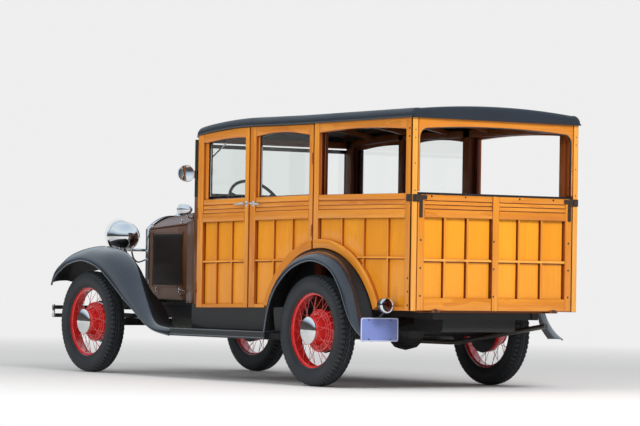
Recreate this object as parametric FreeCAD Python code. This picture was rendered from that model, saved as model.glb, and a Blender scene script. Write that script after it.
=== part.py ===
import FreeCAD, Part
import math
import os

# Station wagon of about 1931 with a wooden body on a steel frame.
# Lengths are in millimetres. x is sideways with the car's left at +x, y runs rearward
# from the middle of the wheelbase, z is up from the ground. On export everything moves
# along y so that the outline is centred on the origin.

# Running gear
wheelbase = 2769.0
tyre_radius = 361.0
tyre_width = 125.0
bead_radius = 241.0
rim_flange_radius = 256.0
rim_half_width = 40.0
rim_well_radius = 229.0
spoke_count = 20
spoke_size = 5.0
spoke_lean = 22.0
hub_cap_radius = 89.0
hub_cap_reach = 97.0
drum_radius = 140.0
spindle_radius = 17.0
kingpin_radius = 11.0
kingpin_offset = 102.0
axle_tube_radius = 38.0
differential_radius = 127.0

# Frame
rail_width = 50.0
rail_top = 495.0
rail_depth = 95.0

# Wooden body
body_half = 675.0
wall = 42.0
board_setback = 13.0
batten_setback = 4.0
batten_width = 14.0
body_bottom = 505.0
body_front = -118.0
body_rear = 2318.0
sill_line = 1243.0
belt_bottom = 1087.0
belt_grooves = (1200.0, 1170.0, 1145.0)
groove_size = 5.0
mid_batten = 821.0
bottom_rail_top = 530.0
post_wall = 42.0
door_gap = 5.0
floor_top = 560.0
floor_thickness = 20.0

# Hinges: a pin through knuckles of the post's leaf and the moving leaf
hinge_pin = 3.5
hinge_knuckle = 7.0
hinge_half = 36.0
hinge_leaf_reach = 40.0
hinge_stand = 3.0
running_clearance = 0.06
rest_gap = 0.3

# Roof line of the wood and the crowned fabric above it
roof_front = (-205.0, 1638.0)
roof_shoulder = (560.0, 1703.0)
roof_tail = (2334.0, 1720.0)
roof_skin = 12.0
roof_crown = 89.0
roof_edge = 20.0
roof_hem = 12.0
roof_shoulder_width = 66.0
roof_shoulder_rise = 58.0

# Rear wheel arch in the body side, an arc of one circle
arch_y = 1341.0
arch_z = 263.0
arch_radius = 632.0
arch_moulding = 60.0

# Engine, hood, cowl and radiator
crank_z = 420.0
radiator_y = -1400.0
radiator_depth = 46.0
radiator_foot = 500.0
hood_rear = -652.0
hood_bottom = 528.0
hood_front_top = 1128.0
hood_rear_top = 1192.0
hood_front_belt = 1030.0
hood_rear_belt = 1062.0
hood_skin = 4.0
hinge_radius = 4.0
cowl_skin = 8.0
cowl_rear_top = 1235.0

# Fenders and running boards
fender_skin = 5.0
board_top = 340.0
board_depth = 50.0
board_front = -240.0
board_rear = 905.0

# Bumper, the foremost piece
bumper_front = -1955.0

# Widths that follow the body's
wheel_x = body_half + 42.0
rail_outer = body_half - 245.0
wheelhouse_inner = body_half - 123.0
roof_half = body_half + 11.0
hood_front_half = body_half * 0.397
hood_rear_half = body_half * 0.5926
cowl_rear_half = body_half - 15.0
fender_reach = body_half + 137.0
board_inner = body_half - 55.0
board_reach = fender_reach - 4.0
bumper_half = body_half + 45.0
gate_half = body_half - 47.0
seat_half = wheelhouse_inner - 7.0

# Flat sides of round pieces, few so that the mesh stays light
rod_sides = 12
arch_sides = 44
wheel_sides = 32
hub_sides = 16
lamp_sides = 24
small_sides = 16

front_axle_y = -wheelbase / 2.0
rear_axle_y = wheelbase / 2.0
middle_y = (bumper_front + roof_tail[0]) / 2.0
door_inner = body_half - wall
post_outer = door_inner - door_gap - 1.0
post_inner = post_outer - post_wall

os.makedirs("parts", exist_ok=True)


def vec(x, y, z):
    return FreeCAD.Vector(x, y, z)


def box(x, y, z):
    """Block between two values along each axis."""
    return Part.makeBox(x[1] - x[0], y[1] - y[0], z[1] - z[0], vec(x[0], y[0], z[0]))


def pin(start, end, radius):
    """True cylinder, for what turns and for the bore that it turns in."""
    start, end = vec(*start), vec(*end)
    return Part.makeCylinder(radius, (end - start).Length, start, end - start)


def directions(axis):
    """Unit vector along an axis and two square to it."""
    axis = vec(*axis).normalize()
    across = vec(0, 0, 1) if abs(axis.z) < 0.5 else vec(1, 0, 0)
    across = (across - axis * across.dot(axis)).normalize()
    return axis, across, axis.cross(across)


def rod(start, end, radius, sides=rod_sides):
    """Round bar drawn with flat sides."""
    start, end = vec(*start), vec(*end)
    axis, across, third = directions(end - start)
    turns = [2.0 * math.pi * step / sides for step in range(sides + 1)]
    ring = [start + (across * math.cos(turn) + third * math.sin(turn)) * radius for turn in turns]
    return Part.Face(Part.makePolygon(ring)).extrude(end - start)


def fuse(shapes):
    shapes = list(shapes)
    return shapes[0].multiFuse(shapes[1:]).removeSplitter() if len(shapes) > 1 else shapes[0]


def outside(shape, cutter):
    """What stands outside the cutter, without scraps on its far side."""
    return max(shape.cut(cutter).Solids, key=lambda solid: solid.Volume)


def mirrored(shape):
    """The same piece on the car's right side."""
    return shape.mirror(vec(0, 0, 0), vec(1, 0, 0))


def both_sides(shape):
    return Part.makeCompound([shape, mirrored(shape)])


def save(name, shape):
    moved = shape.copy()
    moved.translate(vec(0, -middle_y, 0))
    moved.exportStep("parts/" + name + ".step")


def outline(points):
    """Closed wire through points; a point given with a middle point is reached by an arc."""
    edges = []
    for index, point in enumerate(points):
        last = points[index - 1]
        start = vec(*(last[1] if isinstance(last[0], tuple) else last))
        if isinstance(point[0], tuple):
            edges.append(Part.Arc(start, vec(*point[0]), vec(*point[1])).toShape())
        else:
            edges.append(Part.LineSegment(start, vec(*point)).toShape())
    return Part.Wire(edges)


def plate_x(points, x):
    """Outline in the y, z plane extruded along x."""
    flat = [tuple((x[0],) + p for p in point) if isinstance(point[0], tuple)
            else (x[0],) + point for point in points]
    return Part.Face(outline(flat)).extrude(vec(x[1] - x[0], 0, 0))


def plate_y(points, y):
    """Outline in the x, z plane extruded along y."""
    flat = [tuple((p[0], y[0], p[1]) for p in point) if isinstance(point[0], tuple)
            else (point[0], y[0], point[1]) for point in points]
    return Part.Face(outline(flat)).extrude(vec(0, y[1] - y[0], 0))


def turned(profile, centre, axis, sides):
    """Profile of (along, radius) points spun about an axis with flat sides."""
    axis, across, third = directions(axis)
    centre = vec(*centre)

    def at(point, step):
        turn = 2.0 * math.pi * (step % sides) / sides
        return centre + axis * point[0] + (across * math.cos(turn) + third * math.sin(turn)) * point[1]
    faces = []
    for first, second in zip(profile, profile[1:] + profile[:1]):
        if first[1] == 0.0 and second[1] == 0.0:
            continue
        for step in range(sides):
            ring = [at(first, step), at(first, step + 1), at(second, step + 1), at(second, step)]
            ring = [p for i, p in enumerate(ring) if (p - ring[i - 1]).Length > 1e-6]
            faces.append(Part.Face(Part.makePolygon(ring + ring[:1])))
    return solid_of(faces)


def solid_of(faces):
    """Solid inside faces that close."""
    shell = Part.Shell(faces)
    shell.sewShape()
    solid = Part.Solid(shell)
    if solid.Volume < 0:
        solid.reverse()
    return solid


def pipe(points, radius):
    """Round bar through points, mitred where it bends."""
    points = [vec(*p) for p in points]
    sections = []
    for index, point in enumerate(points):
        before = point - points[index - 1] if index else points[1] - point
        after = points[index + 1] - point if index < len(points) - 1 else before
        along, across, third = directions(before.normalize() + after.normalize())
        turns = [2.0 * math.pi * step / rod_sides for step in range(rod_sides)]
        ring = [point + (across * math.cos(turn) + third * math.sin(turn)) * radius for turn in turns]
        sections.append([(p.x, p.y, p.z) for p in ring])
    return skin(sections)


def arc_points(start, middle, end, count):
    """Evenly spaced points along the arc through three points, both ends with it."""
    found = Part.Arc(vec(*start), vec(*middle), vec(*end)).toShape().discretize(count)
    return [(p.x, p.y, p.z) for p in found]


def skin(sections):
    """Closed solid over flat sections of equally many points, in triangles between them.

    A wall's second face runs back along its first, so its triangles are cut the other way.
    """
    count = len(sections[0])
    corners = []
    for a, b in zip(sections, sections[1:]):
        for i in range(count):
            j = (i + 1) % count
            if i < count // 2:
                corners += [(a[i], a[j], b[j]), (a[i], b[j], b[i])]
            else:
                corners += [(a[i], a[j], b[i]), (a[j], b[j], b[i])]
    faces = [Part.Face(Part.makePolygon([vec(*p) for p in three + three[:1]])) for three in corners]
    for end in (sections[0], sections[-1]):
        faces.append(Part.Face(Part.makePolygon([vec(*p) for p in end + end[:1]])))
    return solid_of(faces)


# Roof line

def roof_line(y):
    """Height of the wood's top edge: a curve down to the front, then nearly straight."""
    if y < roof_shoulder[0]:
        share = (roof_shoulder[0] - y) / (roof_shoulder[0] - roof_front[0])
        return roof_shoulder[1] - (roof_shoulder[1] - roof_front[1]) * share ** 1.7
    share = (y - roof_shoulder[0]) / (roof_tail[0] - roof_shoulder[0])
    return roof_shoulder[1] + (roof_tail[1] - roof_shoulder[1]) * share


def above_roof_line(drop):
    """Everything above the roof line less a drop, for trimming the walls."""
    front, rear, shoulder = roof_front[0] - 50.0, roof_tail[0] + 50.0, roof_shoulder[0]
    middle = (roof_front[0] + shoulder) / 2.0
    high = roof_tail[1] + 400.0
    points = [(front, high), (front, roof_line(front) - drop),
              ((middle, roof_line(middle) - drop), (shoulder, roof_line(shoulder) - drop)),
              (rear, roof_line(rear) - drop), (rear, high)]
    return plate_x(points, (-roof_half - 200.0, roof_half + 200.0))


# Boarded walls: stiles and rails with thin boards set back between them

walls = {
    "side": {"inner": door_inner, "outer": body_half},
    "rear": {"inner": body_rear - wall, "outer": body_rear},
}


def block(face, along, depth, z):
    """Block on a wall: along the wall, through it, and up."""
    return box(depth, along, z) if face == "side" else box(along, depth, z)


def boards(face, span, panels, battens, bottom, rail_top):
    """Wall slab with set-back boards, battens over their joints and a grooved belt."""
    inner, outer = walls[face]["inner"], walls[face]["outer"]
    slab = block(face, span, (inner, outer), (bottom, sill_line))
    board = outer - board_setback
    pieces = []
    for low, high in panels:
        slab = slab.cut(block(face, (low, high), (board, outer + 1.0), (rail_top, belt_bottom)))
        for z in belt_grooves:
            groove = (z - groove_size / 2.0, z + groove_size / 2.0)
            slab = slab.cut(block(face, (low, high), (outer - groove_size, outer + 1.0), groove))
        middle = (mid_batten - batten_width / 2.0, mid_batten + batten_width / 2.0)
        pieces.append(block(face, (low, high), (board, outer - batten_setback), middle))
    for at in battens:
        width = (at - batten_width / 2.0, at + batten_width / 2.0)
        pieces.append(block(face, width, (board, outer - batten_setback), (rail_top, belt_bottom)))
    return slab.multiFuse(pieces)


def window_hole(y, tops, x):
    """Window with a gently arched head; tops are the front, middle and rear heights."""
    middle = (y[0] + y[1]) / 2.0
    points = [(y[0], sill_line), (y[0], tops[0]), ((middle, tops[1]), (y[1], tops[2])), (y[1], sill_line)]
    return plate_x(points, x)


def arch_cylinder(radius, x):
    return rod((x[0], arch_y, arch_z), (x[1], arch_y, arch_z), radius, arch_sides)


# columns: front edge, rear edge, board panel, battens, window, heights of the window's head
side_walls = {
    "front_door": {"edges": (-112.0, 506.0), "panel": (-17.0, 466.0), "battens": (133.0, 315.0),
                   "window": (8.0, 450.0), "tops": (1600.0, 1624.0, 1630.0)},
    "rear_door": {"edges": (532.0, 1245.0), "panel": (615.0, 1205.0), "battens": (811.0, 1023.0),
                  "window": (620.0, 1190.0), "tops": (1635.0, 1658.0, 1635.0)},
    "quarter": {"edges": (1257.0, 2318.0), "panel": (1336.0, 2250.0), "battens": (1564.0, 1801.0, 2059.0),
                "window": (1327.0, 2262.0), "tops": (1645.0, 1664.0, 1645.0)},
}


def side_wall(name, drop, arch):
    """Left wall piece from the sill to the roof line, with its window and wheel arch."""
    row = side_walls[name]
    front, rear = row["edges"]
    lower = boards("side", (front, rear), [row["panel"]], row["battens"], body_bottom, bottom_rail_top)
    through = (door_inner - 1.0, body_half + 1.0)
    if arch:
        moulding = arch_cylinder(arch_radius + arch_moulding, (door_inner, body_half))
        moulding = moulding.common(box((door_inner, body_half), (front, rear), (body_bottom, sill_line)))
        lower = lower.fuse(moulding)
    upper = box((door_inner, body_half), (front, rear), (sill_line, roof_tail[1] + 60.0))
    upper = upper.cut(window_hole(row["window"], row["tops"], through))
    whole = lower.fuse(upper).cut(above_roof_line(drop))
    if arch:
        whole = whole.cut(arch_cylinder(arch_radius, through))
    return whole.removeSplitter()


def hinge(post_face, edge, away, z, post_x):
    """Side-door hinge; away is +1 where the door runs rearward from its edge, -1 where it runs forward."""
    x, low, high = post_face + hinge_stand, z - hinge_half, z + hinge_half
    third = hinge_half / 3.0
    middle = (z - third, z + third)

    def leaf(face, reach, span):
        return box((face, x), (min(edge, edge + reach), max(edge, edge + reach)), span)
    inside = (middle[0] + rest_gap, middle[1] - rest_gap)
    moving = rod((x, edge, inside[0]), (x, edge, inside[1]), hinge_knuckle)
    moving = moving.fuse(leaf(post_face, away * (hinge_leaf_reach + 4.0), inside))
    fixed = [pin((x, edge, middle[0] - 2.0), (x, edge, middle[1] + 2.0), hinge_pin)]
    for span in ((low, middle[0]), (middle[1], high)):
        fixed.append(rod((x, edge, span[0]), (x, edge, span[1]), hinge_knuckle))
        fixed.append(leaf(post_x, -away * hinge_leaf_reach, span))
    bore = pin((x, edge, low - 1.0), (x, edge, high + 1.0), hinge_pin + running_clearance)
    notch = rod((x, edge, low - 2.0), (x, edge, high + 2.0), hinge_knuckle + 2.0)
    return fuse(fixed), moving.cut(bore), notch


def side_hinges(name):
    """Hinges of a left side door as (fixed, moving, notch)."""
    front, rear = side_walls[name]["edges"]
    if name == "front_door":
        return [hinge(body_half, front, 1.0, z, body_half - 3.0) for z in (620.0, 1130.0)]
    return [hinge(body_half, rear, -1.0, z, body_half) for z in (1010.0, 1480.0)]


def make_doors():
    for name, arch in (("front_door", False), ("rear_door", True)):
        row = side_walls[name]
        door = side_wall(name, door_gap, arch)
        for fixed, moving, notch in side_hinges(name):
            door = door.cut(notch).fuse(moving)
        glass_x = (door_inner + 12.0, door_inner + 17.0)
        glass = window_hole(row["window"], row["tops"], glass_x)
        save(name + "_left", door)
        save(name + "_right", mirrored(door))
        save(name + "_glass_left", glass)
        save(name + "_glass_right", mirrored(glass))


gate_line = body_rear - wall - door_gap
wall_height = (body_bottom, roof_tail[1] + 60.0)
# front and rear of each post behind the doors
door_posts = ((body_front, -60.0), (496.0, 542.0), (1215.0, 1290.0))


def make_body_sides():
    """Boarded quarters behind the rear doors, with their lining and the rear doors' hinges."""
    row = side_walls["quarter"]
    inside = (post_outer - 1.0, door_inner + 1.0)
    lining = box((post_outer, door_inner), (row["edges"][0], gate_line), wall_height)
    lining = lining.cut(window_hole(row["window"], row["tops"], inside))
    lining = lining.cut(arch_cylinder(arch_radius, inside)).cut(above_roof_line(0.0))
    hinges = [fixed for fixed, moving, notch in side_hinges("rear_door")]
    side = fuse([side_wall("quarter", 0.0, True), lining]).multiFuse(hinges)
    save("body_sides", both_sides(side))


def make_body_frame():
    """Posts, cant rails and sills inside the doors and quarters."""
    low = (body_bottom, floor_top - floor_thickness)
    pieces = [box((post_inner, post_outer), span, wall_height) for span in door_posts]
    pieces.append(box((post_outer, body_half - 8.0), (511.0, 527.0), wall_height))
    pieces.append(box((post_inner + 15.0, post_outer), (gate_line - 56.0, gate_line), wall_height))
    pieces.append(box((post_inner - 25.0, post_outer), (body_front, 740.0), low))
    pieces.append(box((post_inner - 25.0, post_outer), (1940.0, gate_line), low))
    rail = box((post_inner, post_outer), (body_front, gate_line), (1500.0, wall_height[1]))
    pieces.append(rail.common(above_roof_line(48.0)))
    side = fuse(pieces).cut(above_roof_line(0.0))
    save("body_frame", both_sides(side.cut(arch_cylinder(arch_radius, (post_inner - 30.0, body_half + 1.0)))))


# Tailgate and rear frame

gate_bottom = 509.0
gate_top = 1250.0
gate_rail_top = 588.0
gate_pivot = (2320.0, 505.0)
gate_hinges = (148.0 - gate_half, gate_half - 148.0)
gate_knuckle = 9.0
gate_pin = 5.0


def make_tailgate():
    stile, centre = gate_half - 56.0, 40.0
    panels = [(-stile, -centre), (centre, stile)]
    battens = [stile * share for share in (-0.67, -0.35, 0.375, 0.71)]
    gate = boards("rear", (-gate_half, gate_half), panels, battens, gate_bottom, gate_rail_top)
    cap = box((-gate_half, gate_half), (body_rear - wall, body_rear + 3.0), (sill_line - 20.0, gate_top))
    gate = gate.fuse(cap).removeSplitter()
    y, z = gate_pivot
    for x in gate_hinges:
        span = (x - 14.0, x + 14.0)
        notch = rod((x - 34.0, y, z), (x + 34.0, y, z), gate_knuckle + 2.0)
        barrel = rod((span[0], y, z), (span[1], y, z), gate_knuckle)
        barrel = barrel.fuse(box(span, (body_rear - 12.0, body_rear), (z, z + 14.0)))
        bore = pin((x - 15.0, y, z), (x + 15.0, y, z), gate_pin + running_clearance)
        gate = gate.cut(notch).fuse(barrel).cut(bore)
    save("tailgate", gate)


def gate_straps(front):
    """Pins, lugs and straps of the tailgate's hinges, reaching forward to the floor's last beam."""
    y, z = gate_pivot
    pieces = []
    for x in gate_hinges:
        pieces.append(pin((x - 16.0, y, z), (x + 16.0, y, z), gate_pin))
        for low in (x - 30.0, x + 14.0 + rest_gap):
            lug = (low, low + 16.0 - rest_gap)
            pieces.append(rod((lug[0], y, z), (lug[1], y, z), gate_knuckle))
            pieces.append(box(lug, (front, y), (z - gate_knuckle, z - gate_knuckle + 6.0)))
    return pieces


roof_bows = (180.0, 610.0, 1040.0, 1470.0, 1900.0)


def make_roof_frame():
    opening_half = gate_half - 10.0
    header = box((-door_inner, door_inner), (gate_line, body_rear), (gate_top + 6.0, roof_tail[1] + 60.0))
    header = header.cut(above_roof_line(0.0))
    corner = 60.0
    top, middle = 1655.0, 1676.0
    opening = [(-opening_half, gate_top), (-opening_half, top - corner),
               ((-opening_half + corner * 0.29, top - corner * 0.29), (-opening_half + corner, top)),
               ((0.0, middle), (opening_half - corner, top)),
               ((opening_half - corner * 0.29, top - corner * 0.29), (opening_half, top - corner)),
               (opening_half, gate_top)]
    header = header.cut(plate_y(opening, (gate_line - 1.0, body_rear + 1.0)))
    pieces = [header]
    front_top = roof_line(body_front)
    bar = box((-post_outer, post_outer), (body_front - 32.0, body_front), (front_top - 44.0, front_top))
    pieces.append(bar.cut(above_roof_line(0.0)))
    save("roof_frame", Part.makeCompound(pieces + [bow(y) for y in roof_bows]))


def bow(y):
    """Arched cross bow that seats on the cant rails and carries the roof skin."""
    base, half = roof_line(y), post_outer
    rise = roof_crown - roof_skin - 7.0
    upper = arc_points((-half, y, base + 20.0), (0.0, y, base + rise), (half, y, base + 20.0), 9)
    lower = arc_points((half, y, base), (0.0, y, base + rise - 32.0), (-half, y, base), 9)
    points = [(x, z) for x, along, z in upper + lower]
    return plate_y(points, (y - 20.0, y + 20.0)).common(above_roof_line(0.0))


def roof_arch(y, inset, crown, shift):
    """Points of the roof from its right foot over the crown to the left foot; shift moves them inward."""
    base = roof_line(y)
    half = roof_half - inset - shift
    corner = roof_shoulder_width - shift * 0.5
    rise = roof_shoulder_rise - shift * 0.8
    side = base + roof_edge
    foot, shoulder = (half, y, base - roof_hem), (half - corner, y, base + rise)
    bend = (half - corner * 0.25, y, side + (rise - roof_edge) * 0.7)
    edge = arc_points((half, y, side), bend, shoulder, 4)
    crown_arc = arc_points(shoulder, (0.0, y, base + crown - shift), flipped(shoulder), 9)
    return [foot] + edge + crown_arc[1:-1] + [flipped(p) for p in reversed(edge)] + [flipped(foot)]


def flipped(point):
    return (-point[0], point[1], point[2])


def roof_section(y, inset, crown):
    """Closed section of the roof skin: the outer arch, then the inner arch back."""
    return roof_arch(y, inset, crown, 0.0) + list(reversed(roof_arch(y, inset, crown, roof_skin)))


def roof_end(y, inset, crown):
    """Wall that closes an end of the roof, reaching rearward from y."""
    arch = roof_arch(y, inset, crown, 0.0)
    return Part.Face(Part.makePolygon([vec(*p) for p in arch + arch[:1]])).extrude(vec(0, roof_skin, 0))


def make_roof():
    # columns: y, inset from the full width, crown
    stations = ((roof_front[0], 16.0, roof_crown - 26.0), (-110.0, 8.0, roof_crown - 14.0),
                (40.0, 3.0, roof_crown - 6.0), (250.0, 1.0, roof_crown - 2.0),
                (roof_shoulder[0], 0.0, roof_crown), (roof_tail[0] - roof_skin, 0.0, roof_crown))
    shell = skin([roof_section(*row) for row in stations])
    roof = fuse([shell, roof_end(*stations[0]), roof_end(*stations[-1])])
    save("roof", roof.common(above_roof_line(0.0)))


# Windscreen, cowl, hood, radiator

def make_windscreen():
    top = roof_line(body_front) - 44.0
    front = body_front - 38.0
    post = box((post_outer + 2.0, body_half - 3.0), (front, body_front), (sill_line, top + 30.0))
    pillar = box((post_inner + 10.0, post_outer + 2.0), (front, body_front - 1.0), (sill_line, top))
    wide = (-post_inner - 10.0, post_inner + 10.0)
    rail = box(wide, (front + 6.0, body_front - 8.0), (sill_line, sill_line + 26.0))
    head = box(wide, (front + 6.0, body_front - 8.0), (top - 26.0, top))
    frame = fuse([post, mirrored(post), pillar, mirrored(pillar), rail, head])
    frame = frame.cut(above_roof_line(0.0))
    save("windscreen_frame", frame)
    pane = box(wide, (front + 16.0, front + 21.0), (sill_line + 26.0, top - 26.0))
    lens = turned([(0.0, 0.0), (6.0, 0.0), (0.0, headlamp_radius - 10.0)],
                  (headlamp_x, headlamp_y - 100.0, headlamp_z), (0, -1, 0), lamp_sides)
    save("glazing", Part.makeCompound([pane, lens, mirrored(lens)]))


def half_volume(stations, bottom, inset):
    """Left half of a hood or cowl as a solid; columns of a station: y, half width, top, belt."""
    sections = []
    for y, half, top, belt in stations:
        half, top, belt = half - inset, top - inset, belt - inset * 0.3
        drop = (top - belt) * 0.30
        arch = arc_points((0.0, y, top), (half * 0.62, y, top - drop), (half, y, belt), 7)
        sections.append(arch + [(half, y, bottom), (0.0, y, bottom)])
    return skin(sections)


def hood_shell(front, rear):
    stations = ((front, hood_front_half, hood_front_top, hood_front_belt),
                (rear, hood_rear_half, hood_rear_top, hood_rear_belt))
    return half_volume(stations, hood_bottom, 0.0).cut(half_volume(stations, hood_bottom - 1.0, hood_skin))


def make_hood():
    front, rear = radiator_y + radiator_depth, hood_rear
    above = plate_x([(front, hood_front_belt), (rear, hood_rear_belt), (rear, 1400.0), (front, 1400.0)],
                    (hinge_radius + rest_gap, body_half))
    leaf = hood_shell(front + door_gap, rear - door_gap).common(above)
    below = plate_x([(front, hood_front_belt - door_gap), (rear, hood_rear_belt - door_gap),
                     (rear, hood_bottom), (front, hood_bottom)], (100.0, body_half))
    side = hood_shell(front, rear).common(below)
    save("hood_left", leaf)
    save("hood_right", mirrored(leaf))
    save("hood_sides", both_sides(side))


cowl_stations = ((hood_rear, hood_rear_half, hood_rear_top, hood_rear_belt),
                 (-470.0, body_half - 205.0, 1206.0, hood_rear_belt + 20.0),
                 (-290.0, body_half - 85.0, 1222.0, hood_rear_belt + 40.0),
                 (body_front - 38.0, cowl_rear_half, cowl_rear_top, hood_rear_belt + 70.0))


def make_cowl():
    front = body_front - 38.0
    bottom = hood_bottom - 20.0
    inside = half_volume(cowl_stations, bottom - 1.0, cowl_skin)
    shell = half_volume(cowl_stations, bottom, 0.0).cut(inside)
    deck = box((-cowl_rear_half, cowl_rear_half), (front, body_front), (cowl_rear_top - 60.0, sill_line))
    side = box((cowl_rear_half - 25.0, body_half - 3.0), (front, body_front), (body_bottom, sill_line))
    firewall = box((0.0, body_half), (hood_rear + 20.0, hood_rear + 26.0), (crank_z + 150.0, 1300.0))
    firewall = firewall.common(inside)
    hinge_rod = rod((0.0, radiator_y + radiator_depth + 1.0, hood_front_top - 2.0),
                    (0.0, hood_rear, hood_rear_top - 2.0), hinge_radius)
    door_hinges = [fixed for fixed, moving, notch in side_hinges("front_door")]
    left = fuse([shell, side, firewall] + door_hinges)
    save("cowl", fuse([left, mirrored(left), deck, hinge_rod]))


def make_radiator():
    def arch(half, top, belt, bottom):
        return [(-half, bottom), (-half, belt), ((-half * 0.66, belt + (top - belt) * 0.72), (0.0, top)),
                ((half * 0.66, belt + (top - belt) * 0.72), (half, belt)), (half, bottom)]
    outer = plate_y(arch(hood_front_half + 4.0, hood_front_top + 4.0, hood_front_belt, radiator_foot),
                    (radiator_y, radiator_y + radiator_depth))
    inner = plate_y(arch(hood_front_half - 34.0, hood_front_top - 52.0, hood_front_belt - 16.0, 540.0),
                    (radiator_y - 1.0, radiator_y + radiator_depth + 1.0))
    save("radiator_shell", outer.cut(inner))
    core = plate_y(arch(hood_front_half - 34.0, hood_front_top - 52.0, hood_front_belt - 16.0, 540.0),
                   (radiator_y + 14.0, radiator_y + radiator_depth))
    save("radiator_core", core)


# Lamps, mirror, bumper

headlamp_x = hood_front_half + 147.0
headlamp_y = -1440.0
headlamp_z = 985.0
headlamp_radius = 130.0
cowl_lamp_at = (body_half - 20.0, -291.0, 1157.0)
tail_lamp_at = (body_half + 52.0, 2126.0, 537.0)
plate_x_at = body_half + 31.0
mirror_at = (body_half + 70.0, -135.0, 1401.0)
plate_y_at = 2039.0


def make_lamps():
    bowl = turned([(-96.0, 0.0), (-84.0, 48.0), (-52.0, 92.0), (0.0, 115.0), (84.0, 121.0),
                   (86.0, headlamp_radius), (100.0, headlamp_radius - 4.0), (94.0, 0.0)],
                  (headlamp_x, headlamp_y, headlamp_z), (0, -1, 0), lamp_sides)
    y = headlamp_y - 10.0
    post = rod((headlamp_x, y, 880.0), (headlamp_x, y, headlamp_z - 100.0), 16.0)
    bar = rod((0.0, y, 880.0), (headlamp_x + 20.0, y, 880.0), 12.0)
    foot = outside(rod((headlamp_x + 20.0, y, 880.0), (headlamp_x + 110.0, y, 794.0), 12.0), front_fender())
    lamp = fuse([bowl, post, bar, foot])
    cowl_lamp = turned([(-70.0, 0.0), (-44.0, 27.0), (0.0, 38.0), (46.0, 36.0), (54.0, 0.0)],
                       cowl_lamp_at, (0, -1, 0), small_sides)
    x, y, z = cowl_lamp_at
    cowl = half_volume(cowl_stations, body_bottom, 0.0)
    stalk = outside(rod(cowl_lamp_at, (x - 72.0, y, z - 72.0), 10.0), cowl)
    side_lamp = cowl_lamp.fuse(stalk)
    save("front_lamps", Part.makeCompound([lamp.fuse(mirrored(lamp)), side_lamp, mirrored(side_lamp)]))
    x, y, z = tail_lamp_at
    drum = turned([(-60.0, 0.0), (-46.0, 34.0), (-20.0, 47.0), (20.0, 48.0), (26.0, 0.0)], tail_lamp_at,
                  (0, 1, 0), small_sides)
    arm = plate_x([(y - 36.0, z - 20.0), (y - 36.0, 420.0), (plate_y_at + 2.0, 404.0),
                   (plate_y_at + 2.0, 390.0), (y - 22.0, 408.0), (y - 22.0, z - 20.0)], (x - 4.0, x + 4.0))
    holder = box((x - 60.0, x + 30.0), (plate_y_at + 2.0, plate_y_at + 5.0), (330.0, 440.0))
    blank = box((plate_x_at - 147.0, plate_x_at + 147.0), (plate_y_at - 1.0, plate_y_at + 2.0),
                (307.0, 457.0))
    stub = rod((body_half, y - 26.0, 517.0), (x - 30.0, y - 26.0, 517.0), 9.0)
    save("tail_lamp", fuse([drum, arm, holder, blank, stub]))


def make_mirror():
    x, y, z = mirror_at
    head = turned([(-14.0, 0.0), (0.0, 62.0), (6.0, 62.0), (6.0, 0.0)], mirror_at, (0, 1, 0), small_sides)
    arm = rod((body_half + 3.0, y - 3.0, z - 4.0), (x, y - 5.0, z), 6.0)
    foot = box((body_half - 3.0, body_half + 4.0), (body_front - 34.0, body_front - 6.0),
               (z - 34.0, z + 26.0))
    save("mirror", fuse([head, arm, foot]))


def make_bumper():
    bars = [box((-bumper_half, bumper_half), (bumper_front, bumper_front + 10.0), (z - 14.0, z + 14.0))
            for z in (395.0, 454.0)]
    x, y = bumper_half - 12.0, bumper_front + 5.0
    bolt = rod((x, y, 378.0), (x, y, 477.0), 9.0)
    arm = box((rail_outer - 45.0, rail_outer - 25.0), (bumper_front + 10.0, front_horn),
              (rail_arch_bottom - 20.0, rail_arch_bottom + 20.0))
    save("front_bumper", fuse(bars + [bolt, mirrored(bolt), arm, mirrored(arm)]))


# Frame, axles, springs, engine

frame_rear = 2230.0
spring_half = 430.0
spring_width = 44.0
spring_pack = 34.0
rail_lift = 42.0
rail_arch_bottom = rail_top - 30.0
front_horn = front_axle_y - spring_half - 18.0


def make_frame():
    top, low, arch_low = rail_top, rail_top - rail_depth, rail_arch_bottom
    reach = spring_half + 30.0
    front_from, front_to = front_axle_y - 215.0, front_axle_y + reach
    rear_from, rear_to = rear_axle_y - reach, rear_axle_y + reach
    slope = 75.0
    profile = [(front_horn, arch_low), (front_horn, arch_low + 30.0), (front_from, top + rail_lift - 10.0),
               (front_to - 200.0, top + rail_lift - 14.0), (front_to + slope, top),
               (rear_from + slope, top), (rear_axle_y - 205.0, top + rail_lift),
               (rear_axle_y + 205.0, top + rail_lift), (rear_to - slope, top), (frame_rear, top),
               (frame_rear, arch_low - 15.0), (rear_to, arch_low),
               (rear_from, arch_low), (rear_from - slope, low), (front_to + slope, low), (front_to, arch_low)]
    rail = plate_x(profile, (rail_outer - rail_width, rail_outer))
    inner = rail_outer - rail_width
    crossings = [box((-inner, inner), (y, y + 60.0), (top - 55.0, top - 5.0)) for y in (150.0, 820.0)]
    crossings.append(box((-inner, inner), (frame_rear - 70.0, frame_rear - 10.0), (top - 45.0, top - 2.0)))
    crossings.append(box((-inner, inner), (radiator_y - 20.0, radiator_y + radiator_depth + 4.0),
                         (radiator_foot - 25.0, radiator_foot)))
    save("chassis_frame", fuse([rail, mirrored(rail)] + crossings))


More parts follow.
